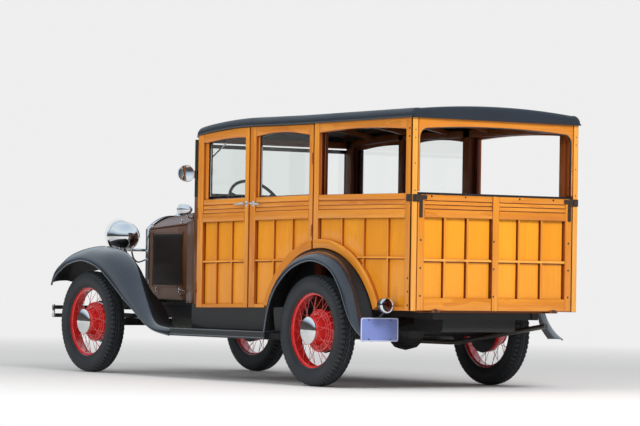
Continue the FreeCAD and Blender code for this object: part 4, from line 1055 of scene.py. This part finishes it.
front_rows = ((-1815, 615, 650, 70, 575, 40), (-1770, 680, 640, 95, 560, 30),
              (-1690, 727, 625, 104, 525, 0), (-1600, 767, 612, 108, 495, -30),
              (-1443, 796, 602, 107, 440, -80), (-1320, 786, 600, 112, 434, -100),
              (-1175, 743, 602, 128, 432, -100), (-1031, 662, 615, 128, 434, -80),
              (-868, 553, 650, 95, 444, -60), (-707, 455, 695, 62, 500, -45),
              (-560, 368, 742, 44, 560, -20), (-430, 318, 772, 42, 600, 20),
              (-240, 290, 796, 50, 620, 46))
rear_rows = ((905, 340, 750, 40, 680, 60), (940, 480, 742, 56, 680, 120),
             (1000, 595, 740, 64, 680, 140), (1090, 688, 738, 68, 680, 128),
             (1220, 768, 736, 68, 680, 104), (1390, 811, 735, 62, 680, 76),
             (1530, 796, 735, 60, 680, 62), (1650, 742, 735, 60, 680, 60),
             (1745, 632, 735, 62, 680, 80), (1800, 530, 735, 56, 680, 92),
             (1862, 432, 735, 44, 680, 80), (1935, 367, 735, 30, 680, 40),
             (2026, 318, 735, 12, 680, 12))


def fender(piece, rows, reach=811, skin=5):
    """Crowned sheet over a row of sections; each row holds y, z, the ridge and the inner edge."""
    stations = smooth(rows, 6)
    sections, lip = [], []
    for index, (y, z, ridge_x, ridge_rise, inner_x, inner_rise) in enumerate(stations):
        before, after = stations[max(index - 1, 0)], stations[min(index + 1, len(stations) - 1)]
        along = Vector((0, after[0] - before[0], after[1] - before[1])).normalized()
        up = Vector((0, -along.z, along.y))

        def at(x, rise):
            return tuple(Vector((x, y, z)) + up * rise)

        def crown(inward):
            turns = [radians(90 * step / 12) for step in range(13)]
            return [at(ridge_x + (reach - ridge_x - inward) * cos(a), (ridge_rise - inward) * sin(a))
                    for a in turns]
        fall = inner_rise - ridge_rise
        slope = [(ridge_x + (inner_x - ridge_x) * t,
                  ridge_rise + fall * t * t * (3 - 2 * t) * 0.5 + fall * t * 0.5)
                 for t in (0.2, 0.4, 0.6, 0.8, 1)]
        outer = crown(0) + [at(x, rise) for x, rise in slope]
        under = crown(skin) + [at(x, rise - skin) for x, rise in slope]
        sections.append(outer + list(reversed(under)))
        lip.append(at(reach - 4, 1))
    loft(piece, sections, [0] * 12 + [2] * 24)
    # The lip's lighter bead paint is a painted highlight.
    tube(piece, lip, 5.5, 10, 1)


def wheel_house(piece, rim=626, sheet=4, outer=683, inner=556):
    """Round sheet over the rear wheel, closed on its inner side."""
    low = asin((bottom - arch_z) / rim)
    turns = [low + (pi - 2 * low) * i / 40 for i in range(41)]
    over, under = ([(arch_y + r * cos(a), arch_z + r * sin(a)) for a in turns] for r in (rim, rim - sheet))
    loft(piece, [[(outer, *p), (outer, *q), (inner, *q), (inner - sheet, *p)]
                 for p, q in zip(over, under)], 2)
    timber(piece, "x", over, (inner, inner - sheet), "y", 0.5, 2)


for side, word in sides:
    for end, rows in (("front", front_rows), ("rear", rear_rows)):
        piece = Piece(side)
        fender(piece, rows)
        if end == "rear":
            wheel_house(piece)
        piece.make(f"{end}_fender_{word}", "wagon", [black, bead_highlight, under_black], "paint_black",
                   once(side, f"{end}_fenders"), 50)


# Hood, cowl and radiator

hood_front, hood_rear = -1354, -652


def hood_at(y):
    """Half width, top and belt height of the hood at y."""
    t = (y - hood_front) / (hood_rear - hood_front)
    return 268 + 132 * t, 1128 + 64 * t, 1030 + 32 * t


def crown_points(y, half, top, belt, count=16, skin=0):
    half, top, belt = half - skin, top - skin, belt - skin * 0.3
    flat = arc((0, top), (half * 0.62, top - (top - belt) * 0.30), (half, belt), count)
    return [(x, y, z) for x, z in flat]


def hood_side(y, z, out=0):
    return hood_at(y)[0] + out, y, z


def hood_leaf(leaf, gap=4.6):
    """Half of the hood, from a gap beside the centre hinge down to the belt."""
    stations = [hood_front + 6 + i * (hood_rear - hood_front - 12) / 12 for i in range(13)]
    sections = []
    for y in stations:
        outer = [p for p in crown_points(y, *hood_at(y), 18) if p[0] > gap]
        under = [p for p in crown_points(y, *hood_at(y), 18, 4) if p[0] > gap - 0.3]
        outer = [(gap, y, outer[0][2] + 0.4)] + outer[-16:]
        under = [(gap, y, outer[0][2] - 4)] + under[-16:]
        sections.append(outer + list(reversed(under)))
    loft(leaf, sections)
    tube(leaf, [(hood_at(y)[0] - 4, y, hood_at(y)[2] + 6) for y in stations], 5.5, 10)
    for y in (-1290, -760):
        half, _, belt = hood_at(y)
        beam(leaf, (half - 6, half + 4), (y - 11, y + 11), (belt + 10, belt + 40), "z", 2, 1)


louvres, louvre_low, louvre_high = 29, 630, 996
louvre_front, louvre_rear = -1262, -738
louvre_across = ((0, -1), (0.25, 4), (0.5, 6.5), (0.72, 5.5), (0.86, 0.5), (0.9, -6), (1, -6))


def hood_sheet(panel, outline):
    """Flat piece of the hood's side, 4 mm thick."""
    points = [hood_side(y, z) for y, z in outline] + [hood_side(y, z, -4) for y, z in outline]
    faces = [(0, 1, 2, 3), (7, 6, 5, 4)] + [(i, i + 4, (i + 1) % 4 + 4, (i + 1) % 4) for i in range(4)]
    panel.add(points, outward(points, faces))


def louvre(panel, y, pitch):
    """Pressed louvre that fades out at its ends."""
    low, high = louvre_low, louvre_high
    sections = []
    for z, share in ((low, 0), (low + 10, 0.7), (low + 24, 1), (high - 24, 1), (high - 10, 0.7), (high, 0)):
        sections.append([hood_side(y + pitch * u, z, out * share if out > 0 else out * max(share, 0.2))
                         for u, out in louvre_across])
    loft(panel, sections, 3, False, False)


def hood_catch(panel, y):
    """Spring catch on the hood's side."""
    tube(panel, [hood_side(y, 560, 2), hood_side(y, 575, 12), hood_side(y, 606, 14), hood_side(y, 612, 9)],
         [4, 4, 4.5, 3], 10, 1)
    lathe(panel, [(0, 0), (0, 11), (6, 9), (8, 0)], hood_side(y, 566, -1), to_left, 16, 1)


def hood_panel(panel):
    low, high, front, rear = louvre_low, louvre_high, louvre_front, louvre_rear
    for a, b, c, d in ((hood_front, hood_rear, 528, low), (hood_front, front, low, high),
                       (rear, hood_rear, low, high)):
        hood_sheet(panel, rectangle((a, b), (c, d)))
    hood_sheet(panel, [(hood_front, high), (hood_rear, high), (hood_rear, hood_at(hood_rear)[2] - 5),
                       (hood_front, hood_at(hood_front)[2] - 5)])
    pitch = (rear - front) / louvres
    for i in range(louvres):
        louvre(panel, front + i * pitch, pitch)
    field = rectangle((front, rear), (low, high))
    # Black sheet behind the louvres: painted shade inside the hood.
    panel.add([hood_side(y, z, -14) for y, z in field], [(0, 1, 2, 3)], 2)
    border = rectangle((front - 14, rear + 12), (low - 12, high + 12))
    tube(panel, [hood_side(y, z, 1) for y, z in border], 3, 8, 0, True)
    for y in (-1190, -764):
        hood_catch(panel, y)


for side, word in sides:
    leaf = Piece(side)
    hood_leaf(leaf)
    leaf.make(f"hood_leaf_{word}", f"hood_{word}", [brown, chrome], "paint_brown", [f"hood_{word}"], 45)
    panel = Piece(side)
    hood_panel(panel)
    panel.make(f"hood_side_{word}", "wagon", [brown, chrome, control, louvre_shade_paint], "paint_brown",
               once(side, "hood_sides"), 40)

cowl_rows = ((-652, 400, 1192, 1062), (-470, 470, 1206, 1082), (-290, 590, 1222, 1102),
             (-156, 660, 1235, 1132))


def half_cowl(cowl):
    stations = smooth(cowl_rows, 8)

    def ring(y, half, top, belt, inward):
        side = [(half - inward, y, belt - (belt - 508) * i / 6) for i in range(1, 7)]
        return crown_points(y, half, top, belt, 22, inward) + side
    loft(cowl, [ring(*row, 0) + list(reversed(ring(*row, 8))) for row in stations])
    beam(cowl, (635, 672), (-156, body_front), (bottom, sill), "z", 3)
    beam(cowl, (0, 385), (-632, -626), (570, 1050), "z", 1, 2)
    tube(cowl, [(half + 1, y, belt + 8) for y, half, top, belt in stations], 5, 10)
    for z in (620, 1130):
        door_hinge(cowl, -112, 1, z, 669, 0, False)
    tube(cowl, [hood_side(-668, 575, 6), hood_side(-668, 596, 16), (446, -690, 604)], [4, 4.5, 3], 10, 1)


cowl = Piece()
for s in (1, -1):
    cowl.side = s
    half_cowl(cowl)
cowl.side = 1
beam(cowl, (-655, 655), (-156, body_front), (1176, sill), "x", 3)
tube(cowl, [(0, -1353, 1127), (0, -652, 1191)], 5, 12)
lathe(cowl, [(0, 0), (0, 36), (8, 38), (14, 34), (17, 0)], (0, -420, 1206), to_top, 32, 1)
cowl.make("cowl_looks", "wagon", [brown, chrome, control], "paint_brown", ["cowl"], 45)


def shell_outline(half, top, belt, low):
    """Outline of the radiator with its arched top."""
    shoulder = belt + (top - belt) * 0.72
    left = arc((-half, belt), (-half * 0.66, shoulder), (0, top), 14)
    right = arc((0, top), (half * 0.66, shoulder), (half, belt), 14)
    return anticlockwise(left + right[1:] + [(half, low), (-half, low)])


radiator = Piece()
outer = shell_outline(272, 1132, 1030, 500)
profile = ((0, -1354), (0, -1394), (3, -1399), (9, -1400), (24, -1400), (32, -1396), (37, -1388), (37, -1354))
loft(radiator, [[(x, y, z) for x, z in inset(outer, distance)] for distance, y in profile], 0, False)
core = [(x, -1386, z) for x, z in inset(outer, 34)]
radiator.add(core, [tuple(range(len(core)))], 1)
for index in range(40):
    x = -228 + index * 11.7
    beam(radiator, (x - 1.5, x + 1.5), (-1391, -1384), (545, 1030 + 60 * (1 - (x / 240) ** 2)), "z", 0.5, 1)
lathe(radiator, [(0, 0), (0, 30), (6, 32), (12, 30), (18, 22), (24, 20), (28, 12), (30, 0)],
      (0, -1380, 1126), to_top, 32, 0)
radiator.make("radiator_looks", "wagon", [chrome, steel], "chrome", ["radiator_shell", "radiator_core"], 40)


# Lamps, mirror, bumper

def head_lamp(lamps, s):
    """Headlamp on its stem, with a bracket out to the fender and a conduit."""
    centre, y, share = (s * 415, -1428, 976), -1450, 0.9
    bowl = [(-98, 0), (-97, 14), (-92, 34), (-82, 56), (-66, 78), (-44, 97), (-16, 110), (14, 116), (50, 119),
            (80, 120), (82, 126), (86, 129.5), (93, 130), (98, 127), (100, 121), (98, 116), (90, 116)]
    lathe(lamps, [(a * share, r * share) for a, r in bowl], centre, to_front, 72)
    lathe(lamps, [(79, 106), (54, 86), (27, 54), (11, 20), (7, 0)], centre, to_front)
    lathe(lamps, [(81, 105), (88, 90), (94, 54), (96, 0)], centre, to_front, 48, 1)
    stem = [(-105, 0), (-105, 17), (-60, 15), (0, 18), (8, 28), (12, 30)]
    lathe(lamps, stem, (s * 415, y, 872), to_top, 24)
    tube(lamps, [(s * 440, y, 880), (s * 480, y, 858), (s * 515, y, 812), (s * 525, y, 790)],
         [12, 12, 13, 20], 14)
    conduit = ((400, -1392, 900), (398, -1380, 860), (385, -1374, 815), (350, -1376, 793),
               (310, -1380, 800), (270, -1384, 816))
    tube(lamps, smooth([(s * x, y, z) for x, y, z in conduit], 6), 6.5, 12)


def cowl_lamp(lamps, s):
    x, y, z = s * 655, -291, 1157
    body = [(-72, 0), (-70, 8), (-60, 19), (-42, 29), (-18, 35), (10, 37.5), (38, 37), (42, 40), (50, 40),
            (53, 36)]
    lathe(lamps, body, (x, y, z), to_front, 40)
    lathe(lamps, [(50, 37), (56, 26), (59, 0)], (x, y, z), to_front, 32, 1)
    tube(lamps, [(x, y, z - 20), (x - s * 20, y, z - 46), (x - s * 52, y, z - 60), (x - s * 84, y, z - 62)],
         [9, 8, 9, 16], 14)


lamps = Piece()
for s in (1, -1):
    head_lamp(lamps, s)
    cowl_lamp(lamps, s)
tube(lamps, [(x, -1450, 880) for x in (-420, *range(-400, 401, 80), 420)], 11, 14)
lamps.make("lamp_looks", "wagon", [chrome, lens_glass], "chrome", ["front_lamps"], 45)

mirror = Piece()
head, facing = (748, -150, 1401), (0.26, 0.95, 0.16)
lathe(mirror, [(-22, 0), (-20, 20), (-13, 42), (-3, 56), (3, 60), (7, 60), (8, 56)], head, facing)
lathe(mirror, [(7, 56.5), (3, 38), (0.5, 18), (0, 0)], head, facing, 48, 1)
tube(mirror, [(672, -138, 1397), (700, -150, 1397), (742, -166, 1400)], [7, 6, 7], 12, 2)
beam(mirror, (671, 680), (-152, -124), (1367, 1427), "z", 2.5, 2)
mirror.make("mirror_looks", "wagon", [chrome, chrome, control], "chrome", ["mirror"], 40)

bumper, bars = Piece(), (395, 454)
for z in bars:
    section = ((-1945, -14), (-1953, -12), (-1955, 0), (-1953, 12), (-1945, 14))
    loft(bumper, [[(x, y, z + rise) for y, rise in section] for x in range(-720, 721, 60)])
for s in (1, -1):
    guard = [(-16, 0), (-14, 8), (-8, 10), (74, 10), (80, 8), (82, 0)]
    lathe(bumper, guard, (s * 708, -1945, 395), to_top, 20)
    beam(bumper, sorted((s * 385, s * 405)), (-1945, -1832), (445, 485), "y", 3, 1)
    for z in bars:
        lathe(bumper, [(0, 0), (0, 15), (5, 13), (8, 0)], (s * 395, -1947, z), to_rear, 20)
bumper.make("bumper_looks", "wagon", [chrome, under_black], "chrome", ["front_bumper"], 40)


# Tail lamp and blank plate

plate_low, plate_high, plate_right, plate_left = 307, 457, 706 - 147, 706 + 147
plate_face = 2041


def tail_lamp(tail, x, y, z):
    at = (x, y, z)
    lathe(tail, [(-62, 0), (-60, 14), (-50, 30), (-34, 42), (-12, 47), (8, 47.5)], at, to_rear, 40, 2)
    lathe(tail, [(8, 47.5), (10, 50), (18, 50.5), (24, 47), (26, 41), (22, 38), (14, 38)], at, to_rear)
    lathe(tail, [(18, 40), (23, 30), (26, 16), (27, 0)], at, to_rear, 40, 1)
    lathe(tail, [(14, 40), (10, 20), (8, 0)], at, to_rear, 40, 2)
    tube(tail, [(x - 12, y - 30, z - 30), (x - 16, 2078, 484), (x - 18, 2046, 466), (x - 18, 2034, 452),
                (x - 18, 2032, 420)], [6, 5.5, 5.5, 6, 6], 12, 2)
    beam(tail, (x - 60, x + 20), (2033, 2038), (330, 440), "z", 0.8, 2)
    tube(tail, [(675, y - 26, 517), (700, y - 26, 519), (x - 20, y - 26, 524)], [14, 9, 9], 14, 2)


def plate_outline(inward=0, corner=12):
    """Rounded rectangle, moved inward from the plate's edge."""
    right, left = plate_right + inward + corner, plate_left - inward - corner
    low, high = plate_low + inward + corner, plate_high - inward - corner
    return [(x + corner * cos(radians(start + turn)), z + corner * sin(radians(start + turn)))
            for x, z, start in ((left, high, 0), (right, high, 90), (right, low, 180), (left, low, 270))
            for turn in (0, 30, 60, 90)]


def number_plate(tail):
    timber(tail, "y", plate_outline(), (plate_face - 3, plate_face), "x", 0.6, 3)
    tube(tail, [(x, plate_face, z) for x, z in plate_outline(4)], 3.2, 8, 4, True)
    for x in (plate_right + 62, plate_left - 62):
        for z in (plate_low + 14, plate_high - 14):
            lathe(tail, [(0, 0), (0, 5), (3, 4), (4, 0)], (x, plate_face, z), to_rear, 12, 2)


tail = Piece()
tail_lamp(tail, 727, 2126, 537)
number_plate(tail)
tail.make("tail_lamp_looks", "wagon", [chrome, red_glass, control, blank, blank_rim], "chrome",
          ["tail_lamp"], 35)


# Running boards

board_length = (-240, 905)


def running_board(board):
    beam(board, (620, 806), board_length, (290, 338), "y", 4)
    for index in range(11):
        x = 640 + index * 13.5
        rib = ((x - 4, 337), (x - 2.5, 340), (x + 2.5, 340), (x + 4, 337))
        loft(board, [[(u, y, z) for u, z in rib] for y in (-236, 901)], 1)
    # Edge beads in the lighter bead paint, a painted highlight.
    tube(board, [(804, y, 301) for y in (-240, 300, 905)], 4, 12, 2)
    beam(board, (782, 804), board_length, (334, 340), "y")
    tube(board, [(802, y, 339) for y in (-240, 300, 905)], 3.5, 12, 2)
    beam(board, (620, 624), board_length, (335, bottom), "y", 1)


for side, word in sides:
    board = Piece(side)
    running_board(board)
    board.make(f"running_board_{word}", "wagon", [board_black, mat, bead_highlight], "paint_black",
               once(side, "running_boards"))


# Handles, corner irons and pale rear posts

def door_handle(handle, y, way):
    """Knob and lever; way is 1 where the lever points to the rear."""
    lathe(handle, [(0, 0), (0, 20), (3, 19), (6, 12), (16, 8.5), (26, 8), (30, 0)],
          (body_half, y, 1190), to_left, 24)
    path = smooth([(700, y - way * 8, 1192), (703, y + way * 24, 1191), (703, y + way * 62, 1187),
                   (700, y + way * 104, 1184)], 5)
    tube(handle, path, [8 - 2.5 * abs(i / 15 - 0.5) for i in range(len(path))], 12)


def corner_irons(irons):
    beam(irons, (606, 672), (2316, 2326), (1190, 1236), "x")
    lathe(irons, [(0, 0), (0, 15), (8, 14), (12, 9), (14, 0)], (646, 2324, 1212), to_rear, 20)
    beam(irons, (668, 681), (2262, body_rear), (1190, 1236), "y")
    screws(irons, [(654, body_rear, z) for z in (1260, 1430, 1590, 1640)], to_rear, 6, 0)
    screws(irons, [(body_half, 2284, z) for z in (540, 625, 710, 1600, 1650)], to_left, 7, 0)


for side, word in sides:
    for name, y, way in (("front_door", 480, -1), ("rear_door", 566, 1)):
        handle = Piece(side)
        door_handle(handle, y, way)
        handle.make(f"{name}_handle_{word}", f"{name}_{word}", [chrome], "chrome")
    irons = Piece(side)
    corner_irons(irons)
    irons.make(f"corner_irons_{word}", "wagon", [iron], "iron")
for side, word in sides:
    post = Piece(side)
    outline = column((633.5, body_half), level(bottom), level(roof_line(2300) - 1), 1)
    timber(post, "y", outline, (2300, body_rear + 1), "z", 4, mark_pale)
    post.make(f"corner_post_{word}", "wagon", wood_marks, "wood")


# Inside: seats, dash and steering wheel

seat_half, cloth_frames = 543, 20
most_move, channel_depth = 24 * mm, 8 * mm


def applied(piece):
    """Leave the piece with the mesh that its modifiers make."""
    found = piece.evaluated_get(bpy.context.evaluated_depsgraph_get())
    piece.data = bpy.data.meshes.new_from_object(found)
    piece.modifiers.clear()


def soft_box(name, x, y, z, lean):
    """Crowned box with many faces, leaning back by lean at its top."""
    shape = bmesh.new()
    bmesh.ops.create_cube(shape, size=1)
    bmesh.ops.subdivide_edges(shape, edges=shape.edges[:], cuts=9, use_grid_fill=True)
    (mid_x, half_x), (mid_y, half_y), (mid_z, half_z) = (((a + b) / 2, (b - a) / 2 - 9) for a, b in (x, y, z))
    for vert in shape.verts:
        u, v, w = vert.co * 2
        px = mid_x + half_x * u * (1 - 0.012 * w * w - 0.02 * v * v)
        py = mid_y + half_y * v * (1 - 0.07 * w * w)
        pz = mid_z + half_z * w * (1 - 0.14 * max(abs(u) ** 12, abs(v) ** 5))
        vert.co = placed((px, py + lean * (pz - z[0]) / (z[1] - z[0]), pz))
    mesh = bpy.data.meshes.new(name)
    shape.to_mesh(mesh)
    shape.free()
    piece = bpy.data.objects.new(name, mesh)
    bpy.context.scene.collection.objects.link(piece)
    return piece


def blow_up(piece):
    """Remesh the box and let cloth under pressure round it, within a limit."""
    remesh = piece.modifiers.new("remesh", "REMESH")
    remesh.mode, remesh.voxel_size = "VOXEL", 0.013
    applied(piece)
    start = [vert.co.copy() for vert in piece.data.vertices]
    cloth = piece.modifiers.new("cloth", "CLOTH")
    cloth.settings.use_pressure = True
    cloth.settings.uniform_pressure_force = 4
    cloth.settings.effector_weights.gravity = 0
    for number in range(1, cloth_frames + 1):
        bpy.context.scene.frame_set(number)
    applied(piece)
    bpy.context.scene.frame_set(1)
    for vert, first in zip(piece.data.vertices, start):
        move = vert.co - first
        if move.length > most_move:
            vert.co = first + move.normalized() * most_move


def cushion(name, x, y, z, lean, node_name, channels):
    """Soft cushion with sewn channels, kept inside its solid's box."""
    piece = soft_box(name, x, y, z, lean)
    blow_up(piece)
    piece.modifiers.new("smooth", "SUBSURF").levels = 1
    applied(piece)
    low, high = placed((x[0], y[0] + min(lean, 0), z[0])), placed((x[1], y[1] + max(lean, 0), z[1]))
    middle = (low + high) / 2
    for vert in piece.data.vertices:
        fold = max(exp(-((vert.co.x / mm - at) / 9) ** 2) for at in channels)
        vert.co += (middle - vert.co).normalized() * channel_depth * fold
        vert.co = Vector(min(max(c, a), b) for c, a, b in zip(vert.co, low, high))
    piece.data.materials.clear()
    piece.data.materials.append(leather)
    piece.data.polygons.foreach_set("use_smooth", [True] * len(piece.data.polygons))
    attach(piece, "wagon")
    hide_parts(node_name)


channels = [-430 + 107.5 * i for i in range(9)]
width = (-seat_half, seat_half)
for name, front, top in (("front_seat", 330, 1290), ("rear_seat", 1230, 1222)):
    cushion(f"{name}_cushion", width, (front + 2, front + 466), (751, 889), 0, name, channels)
    cushion(f"{name}_back", width, (front + 424, front + 530), (893, top), 50, name, channels)

dash = Piece()
beam(dash, (-575, 575), (body_front, -96), (1120, 1240), "x", 5)
for x in (-40, 40):
    lathe(dash, [(0, 0), (0, 33), (4, 33), (6, 29), (4, 27), (3, 0)], (x, -96, 1182), to_rear, 32, 1)
tube(dash, [(585, -100, 1500), (585, 105, 1612)], 5, 10, 1)
dash.make("dash_looks", "wagon", [brown, chrome], "paint_brown")


def steering_wheel(wheel, centre, tilt):
    """Rim, boss and three spokes, square to a column that leans by tilt."""
    down = Vector((0, -cos(tilt), -sin(tilt)))
    across, third = axes_of(down)[1:]
    tube(wheel, circle(centre, across, third, 205, 72), 11, 14, 0, True)
    lathe(wheel, [(-16, 0), (-14, 18), (-8, 26), (30, 26), (30, 0)], centre, down, 28)
    sideways = Vector(to_left)
    upward = down.cross(sideways)
    for turn in (30, 150, 270):
        way = sideways * cos(radians(turn)) + upward * sin(radians(turn))
        tube(wheel, [centre + way * reach for reach in (10, 100, 202)], [10, 7, 8], 12)


wheel = Piece()
steering_wheel(wheel, Vector((350, 130, 1190)), radians(35))
wheel.make("steering_wheel_looks", "steering_wheel", [control], "control_black", ["steering_wheel"], 45)


# Stage: pale floor, plain backdrop, soft light, the photograph's camera

def grey(value):
    return (value, value, value, 1)


def stage_floor(size=120):
    """Pale floor that fades into the backdrop with distance."""
    mesh = bpy.data.meshes.new("floor_stage")
    corners = [(u, v, 0) for u, v in rectangle((-size, size), (-size, size))]
    mesh.from_pydata(corners, [], [(0, 1, 2, 3)])
    material, tree, bsdf = shader("stage_floor")
    far = node(tree, "VectorMath", {0: place_in(tree)}, operation="LENGTH").outputs["Value"]
    feed(tree, bsdf, {"Base Color": grey(0.80), "Roughness": 0.9, "Specular IOR Level": 0.1})
    glow = node(tree, "Emission", {"Color": grey(0.86), "Strength": 1}).outputs[0]
    mixed = node(tree, "MixShader", {0: band(tree, far, 4, 13), 1: bsdf.outputs[0], 2: glow})
    feed(tree, tree.nodes["Material Output"], {0: mixed.outputs[0]})
    mesh.materials.append(material)
    floor = bpy.data.objects.new("floor_stage", mesh)
    bpy.context.scene.collection.objects.link(floor)


def sky_ramp(tree):
    """What the polished parts reflect: ground, dark trees and bright sky, by height."""
    way = node(tree, "SeparateXYZ", {0: node(tree, "TexCoord").outputs["Generated"]}).outputs[2]
    ramp = node(tree, "ValToRGB", {0: band(tree, way, -0.2, 1)})
    stops = ramp.color_ramp.elements
    stops[0].position, stops[0].color = 0, grey(0.30)
    stops[1].position, stops[1].color = 1, (0.62, 0.74, 0.90, 1)
    for at, tint in ((0.16, (0.12, 0.11, 0.10, 1)), (0.32, grey(0.06)), (0.42, (0.52, 0.62, 0.76, 1)),
                     (0.60, (0.86, 0.95, 1, 1))):
        stops.new(at).color = tint
    return ramp.outputs[0]


def studio(scene):
    """World that looks pale grey to the camera, lights in white and is mirrored as a sky."""
    world = bpy.data.worlds.new("studio")
    scene.world = world
    world.use_nodes = True
    tree = world.node_tree
    light = tree.nodes["Background"]
    feed(tree, light, {0: grey(1), 1: 0.55})
    shown = node(tree, "Background", {"Color": grey(0.86), "Strength": 1})
    mirrored = node(tree, "Background", {"Color": sky_ramp(tree), "Strength": 1})
    ray = node(tree, "LightPath").outputs
    seen = calc(tree, "MAXIMUM", ray["Is Camera Ray"], ray["Is Transmission Ray"])
    gloss = node(tree, "MixShader", {0: ray["Is Glossy Ray"], 1: light.outputs[0], 2: mirrored.outputs[0]})
    mixed = node(tree, "MixShader", {0: seen, 1: gloss.outputs[0], 2: shown.outputs[0]})
    feed(tree, tree.nodes["World Output"], {0: mixed.outputs[0]})


def lamp(name, at, aim, size, power):
    data = bpy.data.lights.new(name, "AREA")
    data.shape = "RECTANGLE"
    data.size, data.size_y = size
    data.energy = power
    made = bpy.data.objects.new(name, data)
    made.location = at
    made.rotation_euler = (Vector(aim) - Vector(at)).to_track_quat("-Z", "Y").to_euler()
    made.visible_glossy = False
    scene.collection.objects.link(made)


stage_floor()
scene = bpy.context.scene
studio(scene)
lamp("key", (1.5, 9, 7), (0, 0.5, 0.8), (4, 3), 720)
lamp("side", (9, 1, 5), (0, 0, 0.9), (6, 5), 300)


def add_camera(place, turn, rise, roll):
    """The photograph's camera, by where it stands and the angles it is turned by."""
    camera = bpy.data.cameras.new("camera")
    camera.lens, camera.sensor_width, camera.clip_end = 180.84, 36, 400
    forward = Vector((-cos(turn) * cos(rise), -sin(turn) * cos(rise), sin(rise)))
    right = forward.cross(Vector(to_top)).normalized()
    above = right.cross(forward)
    right, above = right * cos(roll) + above * sin(roll), above * cos(roll) - right * sin(roll)
    turned = Matrix((right, above, -forward)).transposed().to_4x4()
    view = bpy.data.objects.new("camera", camera)
    view.matrix_world = Matrix.Translation(place) @ turned
    scene.collection.objects.link(view)
    scene.camera = view


add_camera((12.83459, 18.11457, 0.73063), 0.9491, 0.0188, 0.0159)
scene.view_settings.view_transform = "Standard"
